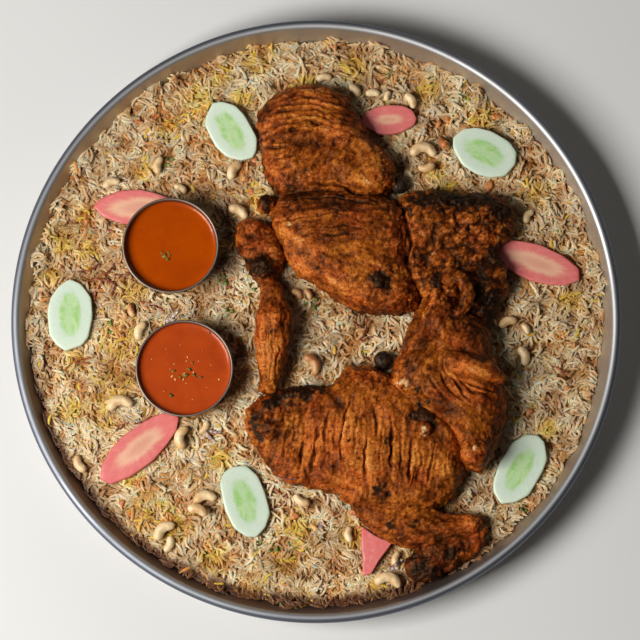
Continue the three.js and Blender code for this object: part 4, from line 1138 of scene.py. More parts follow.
def meat_colours(base, normals, form, look, seed):
    """Colours of the meat: its tone, darker in creases, slashes and on its sides as painted shade and lighter
    on raised fibres and lips as painted highlight, then its warmer and redder places, crumbs, char and bare
    bone.
    """
    places = base[:, :2] / MM
    flakes = layered_noise(base, 4.4 * MM, 2, seed + 70)
    broad = layered_noise(base, 26 * MM, 2, seed + 75)
    # The tone follows the relief: lighter on raised fibres, knobs, heaps and lips, as painted highlight, and
    # darker in creases, as painted shade.
    tone = 0.568 + 0.15 * form.fibres + 0.1 * flakes + 0.12 * broad - 0.2 * form.crease
    tone += 0.24 * form.lips
    tone += 0.24 * form.streak
    tone += 0.12 * (form.knobs - 0.4) - 0.06 * form.knob_crease + 1.3 * form.strokes + 0.16 * form.grit
    tone += form.rough * (0.4 * (form.heaps - 0.45) - 0.3 * form.heap_crease)
    # Spots listed in the look lighten and darken the tone.
    tone += blob_strength(places, look["bright"]) - blob_strength(places, look["dark"])
    # Sides that face away from up get painted shade.
    tone -= 0.04 * form.rough + 0.2 * (1 - smooth_step(-0.2, 0.5, normals[:, 2]))
    specks = layered_noise(base, 2.4 * MM, 2, seed + 80)
    density = (0.7 + 0.35 * layered_noise(base, 18 * MM, 2, seed + 85)) * (1 - 0.6 * form.sleek)
    tone -= 0.2 * smooth_step(0.12, 0.4, specks) * np.clip(density, 0.05, 1)
    # Painted shade in the slashes.
    tone -= 0.5 * form.groove
    colours = tone_colours(tone, MEAT_TONES)
    hue = layered_noise(base, 20 * MM, 3, seed + 99)
    colours = stained_by(colours, GOLDEN, smooth_step(-0.1, 0.4, hue))
    colours = stained_by(colours, RUDDY, smooth_step(0.0, 0.4, -hue))
    reddish = blob_strength(places, look["red"]) + 0.25 * smooth_step(0.1, 0.6, -broad)
    colours = blend_colours(colours, RED, np.clip(reddish, 0, 1) * 0.55 * smooth_step(0.25, 0.6, tone))
    bits = smooth_step(0.15, 0.45, layered_noise(base, 2.8 * MM, 2, seed + 95))
    colours = blend_colours(colours, TAN, bits * (0.14 + 0.4 * form.rough) * smooth_step(0.35, 0.7, tone))
    burnt = form.char + 0.34 * form.rough * smooth_step(-0.1, 0.5, -form.ragged)
    burnt = smooth_step(0.38, 0.7, burnt + 0.35 * layered_noise(base, 4 * MM, 3, seed + 90))
    colours = blend_colours(colours, CHAR, np.clip(burnt, 0, 0.95))
    pale = blob_strength(places + 2.4 * form.jitter, look["pale"], 3.0) * (0.8 + 0.5 * flakes)
    return blend_colours(colours, BONE, 0.85 * smooth_step(0.4, 0.75, pale))


def make_chicken(node, name, look, seed, material):
    """A chicken with its slashes, folds, fibres, crumbs and char, in relief and colour."""
    piece = fine_copy(node, name, MEAT_VOXEL, 7)
    mesh = piece.data
    base = corners_of(mesh)
    normals = normals_of(mesh)
    form = meat_form(base, normals, look, seed)
    move_corners(mesh, base + normals * (form.relief * MM)[:, None])
    paint(mesh, "tint", meat_colours(base, normals, form, look, seed))
    mesh.shade_smooth()
    finish_piece(piece, material, "chicken", node)


def side_by_side(left, right, arch, spacing, count, width, depth):
    """Slashes that run side by side, from the first line down to the last."""
    slashes = []
    for number in range(count):
        drop = number * spacing
        middle = ((left[0] + right[0]) / 2, (left[1] + right[1]) / 2 + arch - drop)
        slashes.append(([(left[0], left[1] - drop), middle, (right[0], right[1] - drop)], width, depth))
    return slashes


# The upper chicken: places in millimetres, each slash as path, width and depth
UPPER_LOOK = {
    "slashes": side_by_side((-50, 214), (36, 208), 9, 6.6, 6, 1.7, 1.7) + [
        ([(-44, 93), (-14, 96), (14, 101), (40, 100)], 1.3, 2.0),
        ([(-34, 88), (-4, 86), (26, 88), (58, 82)], 1.2, 1.8),
        ([(-20, 76), (8, 80), (42, 79)], 1.2, 1.8),
        ([(-48, 168), (-38, 167), (-26, 169)], 1.7, 2.4),
        ([(-47, 158), (-36, 157), (-25, 159)], 1.7, 2.4),
        ([(-46, 148), (-36, 147), (-24, 148)], 1.6, 2.0),
        ([(-8, 133), (18, 131), (44, 122), (62, 118)], 2.2, 4.0),
        ([(-46, 108), (-10, 117), (30, 116), (64, 108)], 1.6, 2.6),
        ([(84, 112), (90, 90), (92, 66), (86, 48)], 2.4, 4.0),
        ([(-50, -8), (-50, -34), (-50, -62)], 1.5, 1.7),
        ([(-43, -10), (-43, -36), (-46, -66)], 1.5, 1.9),
        ([(-35, -14), (-37, -36), (-42, -60)], 1.5, 1.7),
        ([(-54, -14), (-54, -34), (-52, -54)], 1.2, 1.2),
    ],
    "folds": [
        ([(-30, 62), (4, 42), (40, 18), (70, 10)], 5.0, 1.0),
        ([(-40, 96), (-4, 90), (30, 88)], 3.0, 0.8),
    ],
    "fibres": [
        (60, 80, 400, 30, 4.6, 1.5, 0.2),
        (0, 210, 36, 2, 4.6, 5.0, 1.0),
        (5, 160, 40, 60, 4.4, 1.8, 1.0),
        (20, 95, 44, 4, 4.2, 4.5, 1.0),
        (30, 45, 44, -24, 4.4, 2.0, 1.0),
        (-44, -20, 44, 92, 4.0, 6.0, 1.0),
    ],
    "sleek": [(50, 146, 16, 0.6), (-30, 76, 16, 0.5)],
    "pale": [(-26, 90, 2.6, 1.0), (115, 62, 3.0, 0.8), (116, 17, 4.0, 0.9), (51, 134, 3.0, 0.7)],
    "rough": [(140, 70, 62, 1.0), (150, 20, 40, 1.0), (-60, 66, 18, 0.6)],
    "strokes": [
        ([(-25, 229), (-1, 225), (17, 221)], 2.6, 0.24),
        ([(-42, 216), (-18, 218), (9, 213), (28, 209)], 2.2, 0.16),
        ([(-50, 197), (-29, 200), (-6, 197), (10, 194)], 2.6, 0.2),
        ([(-2, 187), (17, 184), (40, 183)], 3.0, 0.36),
        ([(41, 140), (52, 134), (63, 127)], 6.0, 0.3),
        ([(38, 172), (44, 156), (56, 144)], 3.0, 0.2),
        ([(52, 168), (58, 152), (66, 140)], 2.5, 0.2),
        ([(30, 150), (36, 138), (46, 130)], 2.5, 0.16),
        ([(37, 177), (57, 166), (70, 155)], 5.0, 0.16),
        ([(-48, 158), (-38, 139), (-30, 127)], 4.0, 0.2),
        ([(-46, 96), (-16, 99), (10, 106)], 2.2, 0.3),
        ([(-46, 88), (-31, 83), (-12, 72), (-1, 64)], 4.5, 0.4),
        ([(-31, 62), (-16, 48), (-1, 38)], 4.0, 0.34),
        ([(44, 62), (57, 54)], 6.0, 0.2),
        ([(-16, 90), (10, 90), (37, 87)], 3.0, -0.2),
        ([(-38, 124), (-12, 120), (17, 115), (44, 110)], 8.0, -0.32),
        ([(-54, 193), (-45, 188)], 4.0, 0.22),
        ([(8, 41), (28, 32), (46, 29)], 6.0, 0.2),
        ([(6, 77), (26, 80), (48, 87)], 2.4, -0.3),
        ([(-6, 70), (18, 66), (44, 70)], 5.0, 0.14),
        ([(70, 100), (72, 84), (70, 62)], 3.0, 0.16),
        ([(-28, 172), (-8, 168), (14, 170)], 4.0, -0.14),
        ([(-10, 152), (8, 148), (26, 152)], 5.0, 0.1),
        ([(12, 221), (30, 210), (34, 197)], 5.0, -0.16),
        ([(-42, 183), (-22, 177), (-1, 171)], 6.0, -0.16),
        ([(-58, -2), (-57, -23), (-52, -56)], 3.0, 0.16),
        ([(-39, -23), (-44, -49), (-46, -63)], 2.5, 0.2),
        ([(-25, -10), (-31, -43)], 3.0, -0.14),
        ([(137, 41), (146, 30), (145, 20)], 4.0, 0.3),
    ],
    "scorched": [
        ([(97, 116), (125, 119), (160, 116), (186, 106)], 8.5, 1.25),
        ([(166, 47), (161, 21), (171, 5)], 6.0, 1.1),
        ([(178, 66), (166, 69)], 4.0, 0.8),
        ([(116, 34), (119, 23)], 5.0, 0.9),
        ([(-55, 123), (-49, 112), (-45, 102)], 5.0, 1.0),
        ([(-64, 56), (-50, 50), (-40, 44)], 7.0, 1.1),
    ],
    "char": [
        (63, 35, 12, 1.4), (-54, 50, 12, 1.3), (26, 118, 5, 0.9), (21, 102, 4, 0.9), (1, 46, 5, 0.8),
        (118, 36, 8, 0.9), (130, 122, 12, 0.8), (160, 118, 14, 0.85), (185, 105, 14, 0.85),
        (105, 121, 10, 0.8), (180, 60, 12, 0.7), (172, 12, 18, 0.9), (-43, -19, 4, 0.8), (88, 105, 7, 0.8),
        (-48, 116, 8, 0.9), (150, 85, 6, 0.6), (120, 75, 6, 0.6), (140, 50, 7, 0.7), (186, 85, 10, 0.7),
    ],
    "bright": [
        (-10, 75, 24, 0.07), (0, 215, 32, 0.06), (-40, -1, 8, 0.55), (-44, -40, 24, 0.36), (-48, -8, 12, 0.2),
        (50, 148, 20, 0.12), (119, 92, 6, 0.25), (157, 89, 6, 0.25), (115, 63, 7, 0.3), (143, 77, 6, 0.2),
        (161, 61, 6, 0.15), (116, 17, 7, 0.35), (179, 34, 5, 0.15), (0, 158, 30, 0.02),
    ],
    # Darker spots; the one on the top edge, at 36, 228, is painted shade.
    "dark": [
        (-10, 112, 30, 0.1), (140, 90, 50, 0.08), (160, 30, 35, 0.2), (60, 10, 22, 0.12),
        (60, 100, 16, 0.1), (36, 228, 14, 0.2), (20, 56, 50, 0.04),
    ],
    "red": [(-60, 72, 22, 1.0), (-44, -30, 30, 0.3), (-48, 145, 14, 0.5)],
}

LOWER_LOOK = {
    "slashes": [
        ([(-12, -108), (-14, -132), (-17, -156)], 1.9, 2.6),
        ([(1, -112), (-2, -134), (-6, -156)], 1.9, 2.8),
        ([(36, -80), (28, -104), (24, -128), (28, -148)], 2.0, 2.8),
        ([(50, -116), (48, -140), (48, -165)], 2.0, 2.8),
        ([(57, -92), (59, -106), (59, -118)], 1.7, 2.6),
        ([(74, -98), (74, -128), (72, -160)], 2.0, 3.0),
        ([(93, -126), (92, -144), (89, -168)], 2.0, 3.0),
        ([(114, -126), (113, -144), (108, -168)], 1.9, 2.8),
        ([(126, -136), (127, -152)], 1.9, 2.6),
        ([(14, -92), (8, -112), (10, -136)], 1.6, 2.4),
        ([(20, -100), (17, -122), (18, -144)], 1.3, 1.8),
        ([(40, -100), (38, -126), (38, -152)], 1.3, 1.8),
        ([(64, -110), (63, -132), (61, -156)], 1.3, 1.8),
        ([(83, -118), (83, -138), (80, -160)], 1.3, 1.8),
        ([(103, -132), (102, -148), (99, -164)], 1.3, 1.8),
        ([(-28, -112), (-32, -132), (-34, -150)], 1.6, 2.2),
        ([(-20, -96), (-22, -118), (-26, -142)], 1.4, 1.8),
        ([(124, -39), (125, -55), (138, -70), (151, -87)], 1.9, 3.0),
        ([(138, -66), (152, -70), (165, -73), (178, -78)], 1.7, 2.6),
        ([(132, -56), (142, -68), (156, -80)], 1.2, 1.8),
        ([(106, -56), (116, -72), (132, -90)], 1.4, 1.6),
        ([(98, -60), (104, -78), (122, -96)], 1.3, 1.4),
    ],
    "folds": [
        ([(84, -92), (106, -98), (126, -112), (142, -136)], 4.0, 1.6),
        ([(128, -60), (146, -52), (170, -50)], 6.0, 1.4),
    ],
    "fibres": [
        (60, -80, 400, 50, 4.6, 1.5, 0.2),
        (-30, -115, 40, 64, 4.6, 2.4, 1.0),
        (30, -120, 40, 92, 4.8, 4.6, 1.0),
        (85, -140, 50, 90, 4.8, 4.6, 1.0),
        (100, -205, 40, -8, 4.6, 2.4, 1.0),
        (120, -240, 30, 20, 4.2, 3.0, 1.0),
        (120, -10, 40, 66, 4.6, 3.4, 1.0),
        (150, -70, 40, -24, 4.6, 4.0, 1.0),
        (165, -120, 28, -60, 4.4, 3.0, 1.0),
    ],
    "sleek": [(150, -56, 26, 0.9), (128, -76, 24, 0.7), (118, -100, 16, 0.5)],
    "pale": [
        (80, -66, 2.6, 1.0), (84, -67, 2.8, 1.0), (88, -68, 2.6, 1.0), (106, -114, 5.0, 0.9),
        (154, -133, 2.8, 0.9),
    ],
    "rough": [(-40, -95, 34, 0.6), (120, -238, 34, 0.6), (125, 15, 24, 0.5)],
    "strokes": [
        ([(90, -30), (83, -55), (78, -74), (86, -86)], 5.0, 0.1),
        ([(128, -53), (151, -57), (177, -63)], 5.0, 0.26),
        ([(119, -44), (107, -48)], 3.0, 0.24),
        ([(92, -86), (112, -95), (133, -114), (146, -126)], 4.0, 0.26),
        ([(143, -133), (151, -146)], 5.0, 0.2),
        ([(88, -26), (88, -47), (91, -55)], 4.0, -0.2),
        ([(141, -34), (158, -43), (175, -48)], 4.0, -0.3),
        ([(105, -82), (132, -95)], 7.0, -0.16),
        ([(164, -93), (178, -113)], 7.0, -0.2),
        ([(21, -55), (44, -49), (63, -60)], 6.0, 0.2),
        ([(41, -84), (35, -104), (33, -124), (35, -148)], 3.0, 0.22),
        ([(55, -118), (54, -140), (54, -160)], 2.6, 0.2),
        ([(20, -90), (14, -110), (16, -134)], 2.6, 0.16),
        ([(-8, -106), (-9, -130), (-12, -152)], 2.4, 0.2),
        ([(6, -108), (4, -130), (0, -152)], 2.4, 0.18),
        ([(-38, -100), (-44, -118), (-52, -134)], 2.6, 0.16),
        ([(-24, -92), (-30, -112), (-38, -134)], 2.6, 0.16),
        ([(99, -124), (97, -142), (94, -160)], 2.6, 0.22),
        ([(120, -128), (119, -146), (114, -162)], 2.6, 0.18),
        ([(80, -100), (80, -124), (78, -150)], 2.6, 0.16),
        ([(31, -96), (27, -123), (31, -143)], 2.5, 0.26),
        ([(63, -90), (63, -116)], 4.0, 0.2),
        ([(-1, -63), (4, -76)], 5.0, 0.16),
        ([(-29, -143), (-19, -127)], 3.0, 0.2),
        ([(-1, -123), (17, -130)], 6.0, 0.16),
        ([(9, -156), (44, -170)], 5.0, 0.2),
        ([(-66, -83), (-66, -103), (-60, -124)], 3.0, 0.34),
        ([(96, -130), (93, -150)], 3.0, 0.26),
        ([(76, -136), (76, -163)], 4.0, 0.12),
        ([(128, -140), (133, -166)], 5.0, 0.2),
        ([(11, -76), (25, -90), (23, -96)], 5.0, -0.3),
        ([(-55, -96), (-42, -116), (-53, -123)], 8.0, -0.2),
    ],
    "scorched": [
        ([(-52, -88), (-31, -78), (-12, -71), (4, -66), (14, -60)], 5.5, 1.2),
        ([(103, -95), (110, -101), (118, -109)], 5.0, 1.2),
        ([(-14, -150), (-1, -163)], 4.0, 0.6),
        ([(57, -163), (70, -170)], 5.0, 0.7),
        ([(-61, -100), (-58, -118), (-48, -124)], 4.0, 0.8),
    ],
    "char": [
        (-35, -82, 12, 0.9), (-12, -74, 13, 1.0), (5, -72, 9, 0.9), (-60, -100, 9, 0.7), (-58, -118, 9, 0.6),
        (66, -125, 4, 0.9), (17, -151, 5, 0.9), (73, -206, 5, 0.9), (95, -204, 5, 0.8), (104, -92, 8, 1.0),
        (60, -174, 7, 0.8), (70, -178, 6, 0.7), (97, -98, 7, 1.1), (105, -101, 6, 1.1), (98, -74, 5, 0.8),
        (100, -244, 14, 0.9), (130, -232, 12, 0.8), (116, -252, 9, 0.8), (40, -140, 3, 0.7),
        (32, -122, 3, 0.7), (130, -104, 5, 0.6), (150, -118, 8, 0.6),
        (90, -20, 4, 0.6), (150, -10, 7, 0.6),
    ],
    "bright": [
        (153, -54, 18, 0.15), (60, -80, 22, 0.14), (28, -70, 18, 0.14), (115, -150, 20, 0.1),
        (155, -203, 10, 0.35), (120, 20, 12, 0.3), (45, -125, 34, 0.21), (157, -136, 8, 0.2),
        (-20, -120, 26, 0.1), (20, -165, 14, 0.1), (80, -205, 30, 0.15),
    ],
    "dark": [(-45, -105, 28, 0.06), (120, -248, 30, 0.3), (165, -10, 24, 0.25), (102, -45, 24, 0.08)],
    "red": [(-35, -145, 18, 0.8), (-55, -85, 12, 0.6), (0, -160, 14, 0.5), (140, -215, 24, 0.5)],
}


def meat_material():
    """Grilled meat: painted tones with fine dark specks, bright tips and a dull, warm sheen."""
    material, shader = new_material(
        "grilled_meat", Specular_IOR_Level=0.32, Specular_Tint=(1.0, 0.52, 0.24, 1.0))
    tint = attribute_socket(material, "tint")
    fine = noise_socket(material, 1.7 * MM, 3.0, 0.65)
    spots = noise_socket(material, 3.2 * MM, 2.0, 0.5, distortion=0.3)
    grit = noise_socket(material, 5.0 * MM, 3.0, 0.6, distortion=0.4)
    dark_share = range_socket(material, fine, 0.5, 0.66, 0.0, 0.62)
    speckled = mix_socket(material, dark_share, tint, srgb(136, 70, 40), "MULTIPLY")
    spot_share = range_socket(material, spots, 0.58, 0.68, 0.0, 0.8)
    speckled = mix_socket(material, spot_share, speckled, srgb(130, 60, 34), "MULTIPLY")
    light_share = range_socket(material, fine, 0.32, 0.48, 0.6, 0.0)
    lit = mix_socket(material, light_share, speckled, (1.42, 1.38, 1.22), "MULTIPLY")
    join(material, lit, shader.inputs["Base Color"])
    gloss = range_socket(material, grit, 0.38, 0.62, 0.26, 0.62)
    dull = range_socket(material, tint, 0.004, 0.05, 0.5, 0.3)
    rough = add_node(material, "ShaderNodeMath", {0: gloss, 1: dull}, operation="MAXIMUM").outputs[0]
    join(material, rough, shader.inputs["Roughness"])
    bump_into(material, shader, fine, 0.6 * MM, 0.9)
    return material


# Slices, nuts and dried limes, each in the place of its CAD solid

def rounded_copy(node, name, levels, crease):
    """A smooth, finely divided copy of a CAD solid."""
    piece = welded_copy(node, name)
    mesh = piece.data
    if crease:
        layer = mesh.attributes.new("crease_edge", "FLOAT", "EDGE")
        layer.data.foreach_set("value", np.full(len(mesh.edges), crease))
    modifier = piece.modifiers.new("Round", "SUBSURF")
    modifier.levels = levels
    modifier.render_levels = levels
    with_modifiers(piece)
    piece.data.shade_smooth()
    return piece


def slice_places(corners):
    """Place of each corner in its slice, from -1 to 1 along and across it, and the slice's half sizes."""
    flat = corners[:, :2] - corners[:, :2].mean(axis=0)
    ways = np.linalg.eigh(flat.T @ flat)[1]
    along = flat @ ways[:, 1]
    across = flat @ ways[:, 0]
    half_length = np.ptp(along) / 2
    half_width = np.ptp(across) / 2
    along = (along - (along.max() + along.min()) / 2) / half_length
    across = (across - (across.max() + across.min()) / 2) / half_width
    return along, across, half_length, half_width


def make_cucumber(node, material, seed):
    piece = rounded_copy(node, node + "_slice", 3, 0.42)
    corners = corners_of(piece.data)
    along, across, half_length, half_width = slice_places(corners)
    reach = np.hypot(along, across)
    flat = np.column_stack([along * half_length, across * half_width, np.zeros(len(along))])
    wobble = 0.07 * layered_noise(flat, 8 * MM, 2, seed)
    heart = np.hypot(along / 0.66, across / 0.5) + wobble * 2
    seedy = 1 - smooth_step(0.78, 1.08, heart)
    lobes = smooth_step(0.05, 0.22, np.abs(across) + wobble) * seedy
    cells = layered_noise(flat * np.array([0.45, 1, 1]), 2.6 * MM, 2, seed + 5)
    colours = covered(
        np.tile(srgb(208, 222, 201), (len(corners), 1)),
        ((218, 230, 208), smooth_step(0.6, 0.95, reach) * 0.6),
        ((180, 212, 150), seedy * 0.85),
        ((148, 198, 100), lobes * smooth_step(-0.3, 0.35, cells) * 0.75),
        ((206, 222, 160), lobes * smooth_step(0.1, 0.5, -cells) * 0.5),
        ((186, 212, 176), smooth_step(0.93, 1.02, reach) * 0.5),
    )
    paint(piece.data, "tint", colours)
    finish_piece(piece, material, "cucumber", node)


def make_carrot(node, material, seed, core):
    """A pink slice. core is the share of its width that the cream middle takes."""
    piece = rounded_copy(node, node + "_slice", 3, 0.6)
    corners = corners_of(piece.data)
    along, across, half_length, half_width = slice_places(corners)
    angle = np.arctan2(across, along)
    flat = np.column_stack([along * half_length, across * half_width, np.zeros(len(along))])
    wobble = 0.06 * layered_noise(flat, 7 * MM, 2, seed)
    heart = np.hypot(along / (core + 0.12), across / core) + wobble * 2
    streak = soft_noise(np.column_stack([angle * 9, heart * 0.6, heart * 0]), 1.0, seed + 3)
    dots = layered_noise(flat, 2.0 * MM, 2, seed + 4)
    colours = covered(
        srgb(220, 114, 109),
        ((226, 128, 118), smooth_step(-0.4, 0.7, streak) * 0.45),
        ((236, 150, 140), smooth_step(0.1, 0.5, dots) * 0.35),
        ((234, 186, 150), 0.9 * (1 - smooth_step(0.75, 1.35, heart + 0.12 * streak))),
        ((216, 148, 126), (1 - smooth_step(0.35, 0.8, heart)) * 0.75),
        ((212, 84, 88), smooth_step(0.9, 1.0, np.hypot(along, across)) * 0.5),
    )
    paint(piece.data, "tint", colours)
    finish_piece(piece, material, "carrot", node)


# Nuts that are roasted darker than the rest, by number
TOASTED_NUTS = {13: 0.7, 34: 0.75, 32: 0.8, 33: 0.4, 12: 0.2, 18: 0.5, 15: 0.2, 11: 0.05}


def make_cashew(node, material, number):
    piece = rounded_copy(node, node + "_nut", 3, 0.0)
    mesh = piece.data
    corners = corners_of(mesh)
    normals = normals_of(mesh)
    corners += normals * (0.7 * MM + 0.15 * MM * layered_noise(corners, 5 * MM, 2, number))[:, None]
    move_corners(mesh, corners)
    toast = TOASTED_NUTS.get(number, 0.0)
    shade = 0.35 + 0.5 * layered_noise(corners, 9 * MM, 2, number + 40) + toast
    colours = covered(
        srgb(238, 210, 162),
        ((212, 168, 112), smooth_step(0.1, 0.8, shade)),
        ((166, 92, 44), smooth_step(0.7, 1.3, shade)),
        # Painted shade on the undersides.
        ((120, 72, 36), 0.5 * (1 - smooth_step(-0.6, 0.2, normals[:, 2]))),
    )
    paint(mesh, "tint", colours)
    finish_piece(piece, material, "cashew", node)


def make_lime(node, material, seed):
    piece = fine_copy(node, node + "_skin", LIME_VOXEL, 6)
    mesh = piece.data
    corners = corners_of(mesh)
    wrinkle = layered_noise(corners, 5 * MM, 3, seed)
    corners += normals_of(mesh) * ((0.5 * wrinkle - 0.9 * np.abs(wrinkle) + 0.3) * MM)[:, None]
    move_corners(mesh, corners)
    colours = blend_colours(srgb(26, 18, 15), srgb(70, 44, 28), smooth_step(0.0, 0.6, wrinkle))
    paint(mesh, "tint", colours)
    mesh.shade_smooth()
    finish_piece(piece, material, "dried_lime", node)


# Toppings too small for a solid: fried onion, raw onion, herb leaves, seeds and crumbs

def top_finder():
    """A function that gives the height of the dish's top at a place, in metres."""
    tree = tree_of(*[name for name in nodes if name != "platter"])

    def top_at(x, y):
        hit = tree.ray_cast(Vector((x, y, TOPPING_RAY_TOP)), Vector((0, 0, -1)))[0]
        return hit.z if hit is not None else 30 * MM
    return top_at


def ribbon(corners, faces, line, widths, thickness):
    """Adds a flat tube of six sides along a line of points."""
    start = len(corners)
    count = len(line)
    for number, point in enumerate(line):
        ahead = line[min(number + 1, count - 1)] - line[max(number - 1, 0)]
        ahead = ahead / max(np.linalg.norm(ahead), 1e-9)
        side = np.cross([0, 0, 1.0], ahead)
        side = side / max(np.linalg.norm(side), 1e-9)
        over = np.cross(ahead, side)
        for place in range(6):
            angle = math.pi / 3 * place
            offset = side * math.cos(angle) * widths[number] + over * math.sin(angle) * thickness
            corners.append(point + offset)
    for number in range(count - 1):
        for place in range(6):
            after = (place + 1) % 6
            near = start + number * 6
            faces.append((near + place, near + after, near + 6 + after, near + 6 + place))
    faces.append(tuple(start + place for place in reversed(range(6))))
    faces.append(tuple(start + (count - 1) * 6 + place for place in range(6)))


# Fried onion: x, y, length, turn and bend of each strand, in millimetres and degrees
ONION_STRANDS = [
    (-224, 52, 26, 20, 60), (-212, 40, 30, -15, -50), (-206, 50, 22, 40, 80), (-198, 36, 26, -30, 40),
    (-216, 30, 20, 70, -60), (-190, 46, 20, 10, 50), (-218, 60, 18, -50, -70), (-202, 28, 24, 60, 60),
    (-213, 94, 17, 12, 30), (-206, 90, 15, -10, -30), (-163, 19, 24, 15, 60), (-156, 12, 20, -25, -60),
    (-192, 6, 26, 80, 50), (-186, -6, 22, 50, -60), (-200, -12, 24, 20, 60), (-180, 10, 20, -60, 50),
    (-196, -20, 22, -20, -50), (47, -10, 26, 80, 60), (54, -18, 22, 10, -70), (40, -4, 18, -40, 60),
    (247, -39, 26, 30, -50), (240, -48, 20, -30, 60), (-240, -44, 40, 12, -40), (-170, -100, 20, 30, 50),
    (-192, -106, 22, 40, -40), (-40, -160, 26, 10, 50), (-42, -168, 20, -30, -60), (-30, -176, 20, 60, 40),
    (-28, -158, 22, -10, 60), (110, 206, 18, 70, 60), (-238, -110, 20, -40, 50),
    (-250, 60, 18, 80, 50), (14, -196, 20, 40, -60), (-96, -12, 22, 30, 50), (-80, 30, 20, -30, -50),
]
ONION_CURL = [(-266, -22), (-268, -36), (-262, -48), (-250, -50), (-240, -42), (-228, -38), (-218, -38)]


def onion_line(x, y, length, turn, bend, top_at, seed):
    """Centre line of one curly strand that lies over the rice."""
    points = []
    count = 12
    heading = math.radians(turn) - math.radians(bend) / 2
    place = np.array([x, y], float)
    path = [place.copy()]
    for step in range(count):
        place = place + length / count * np.array([math.cos(heading), math.sin(heading)])
        heading += math.radians(bend) / count + 0.16 * math.sin(step * 1.7 + seed)
        path.append(place.copy())
    path = np.array(path) - np.mean(path, axis=0) + np.array([x, y])
    for step, (px, py) in enumerate(path):
        lift = 1.0 + 1.2 * abs(math.sin(step * 0.8 + seed))
        points.append(np.array([px * MM, py * MM, top_at(px * MM, py * MM) + lift * MM]))
    return points


def make_onions(top_at):
    corners = []
    faces = []
    strands = [onion_line(*strand, top_at, number) for number, strand in enumerate(ONION_STRANDS)]
    curl = path_points(ONION_CURL, 3.0)
    strands.append([np.array([x * MM, y * MM, top_at(x * MM, y * MM) + 1.6 * MM]) for x, y in curl])
    for number, line in enumerate(strands):
        count = len(line)
        swell = 0.75 + 0.35 * np.sin(np.linspace(0.4, 2.9, count))
        swell += 0.1 * np.sin(np.arange(count) * 2.1 + number)
        ribbon(corners, faces, line, 1.15 * MM * swell, 0.55 * MM)
    piece = piece_from("fried_onion", corners, faces)
    modifier = piece.modifiers.new("Round", "SUBSURF")
    modifier.levels = 1
    with_modifiers(piece)
    made = corners_of(piece.data)
    shade = layered_noise(made, 7 * MM, 3, 4)
    colours = blend_colours(srgb(150, 74, 34), srgb(86, 36, 16), smooth_step(-0.3, 0.5, shade))
    colours = blend_colours(colours, srgb(190, 112, 58), smooth_step(0.2, 0.7, -shade) * 0.7)
    paint(piece.data, "tint", colours)
    material = painted_material(
        "fried_onion_skin", 1.5, 0.5, (120, 80, 60), (0.25, 0.5), 0.2)
    finish_piece(piece, material, "rice")


# Places of small toppings on the rice: x, y and size in millimetres
HERB_PLACES = [
    (-200, -7, 7), (-168, -1, 6), (-65, 31, 7), (-3, 17, 7), (22, -2, 6), (-57, -222, 6), (-42, -225, 6),
    (-23, -222, 5), (-25, -282, 9), (-88, 62, 5), (-30, -278, 6), (-145, 160, 5),
    (-136, 122, 4), (70, 246, 4), (150, 224, 4), (-240, -120, 4), (204, -186, 4),
    (-86, 8, 5), (-92, 40, 6), (240, 88, 4),
]
CRUMB_PLACES = [
    (-176, 200, 6), (-158, 206, 6), (131, 202, 8), (180, 205, 8), (171, 134, 9), (225, 157, 7),
    (248, -67, 7), (121, 197, 7), (108, 196, 6), (128, 176, 7), (-226, 100, 6),
    (-118, 205, 5), (-70, 140, 6), (-64, 128, 7), (-190, -180, 6), (-96, -206, 6), (-20, -195, 6),
    (-150, -130, 5), (210, -90, 6), (36, -190, 6), (42, -203, 6), (-60, 160, 6),
]
HERB_GROWTH = 1.5
SOAKED = np.array([1.25, 0.62, 0.3])
SLIVER_PLACES = [(-143, 3, 16, 15), (2, -206, 14, 60), (-102, -113, 14, -30), (78, -242, 12, 20)]


def leaf_blob(corners, faces, place, size, seed):
    """Adds a small crumpled leaf, as a thin closed piece."""
    sides = 9
    turn = seed * 2.3
    start = len(corners)
    for lift, scale in ((-0.25 * MM, 0.9), (0.25 * MM, 1.0)):
        for number in range(sides):
            angle = 2 * math.pi * number / sides
            reach = size / 2 * scale * (0.72 + 0.28 * math.cos(3 * angle + seed)) * MM
            x = reach * math.cos(angle) * 1.15
            y = reach * math.sin(angle) * 0.75
            curl = 0.9 * MM * math.sin(angle * 2 + seed) * scale
            corners.append(np.array([
                place[0] + x * math.cos(turn) - y * math.sin(turn),
                place[1] + x * math.sin(turn) + y * math.cos(turn),
                place[2] + lift + curl,
            ]))
    corners.append(np.array([place[0], place[1], place[2] - 0.2 * MM]))
    corners.append(np.array([place[0], place[1], place[2] + 0.5 * MM]))
    for number in range(sides):
        after = (number + 1) % sides
        faces.append((start + number, start + after, start + sides + after, start + sides + number))
        faces.append((start + after, start + number, start + 2 * sides))
        faces.append((start + sides + number, start + sides + after, start + 2 * sides + 1))


def make_herbs(top_at, extra):
    corners = []
    faces = []
    for number, (x, y, size) in enumerate(HERB_PLACES):
        size = size * HERB_GROWTH
        for part in range(3):
            shift = 0.45 * size * np.array([math.cos(part * 2.1 + number), math.sin(part * 2.1 + number)])
            px, py = (x + shift[0]) * MM, (y + shift[1]) * MM
            place = (px, py, top_at(px, py) + (1.4 + 0.4 * part) * MM)
            leaf_blob(corners, faces, place, size * (0.9 - 0.15 * part), number + part * 0.7)
    on_rice = len(corners)
    for number, (x, y, z, size) in enumerate(extra):
        leaf_blob(corners, faces, (x, y, z), size, number * 1.3)
    piece = piece_from("herb_leaves", corners, faces)
    made = corners_of(piece.data)
    shade = soft_noise(made, 3 * MM, 2)
    colours = blend_colours(srgb(122, 148, 52), srgb(66, 92, 28), smooth_step(-0.4, 0.5, shade))
    colours[on_rice:] *= SOAKED
    paint(piece.data, "tint", colours)
    material = painted_material(
        "herb_green", 1.2, 0.4, (120, 130, 90), (0.4, 0.6), 0.15)
    finish_piece(piece, material, "rice")


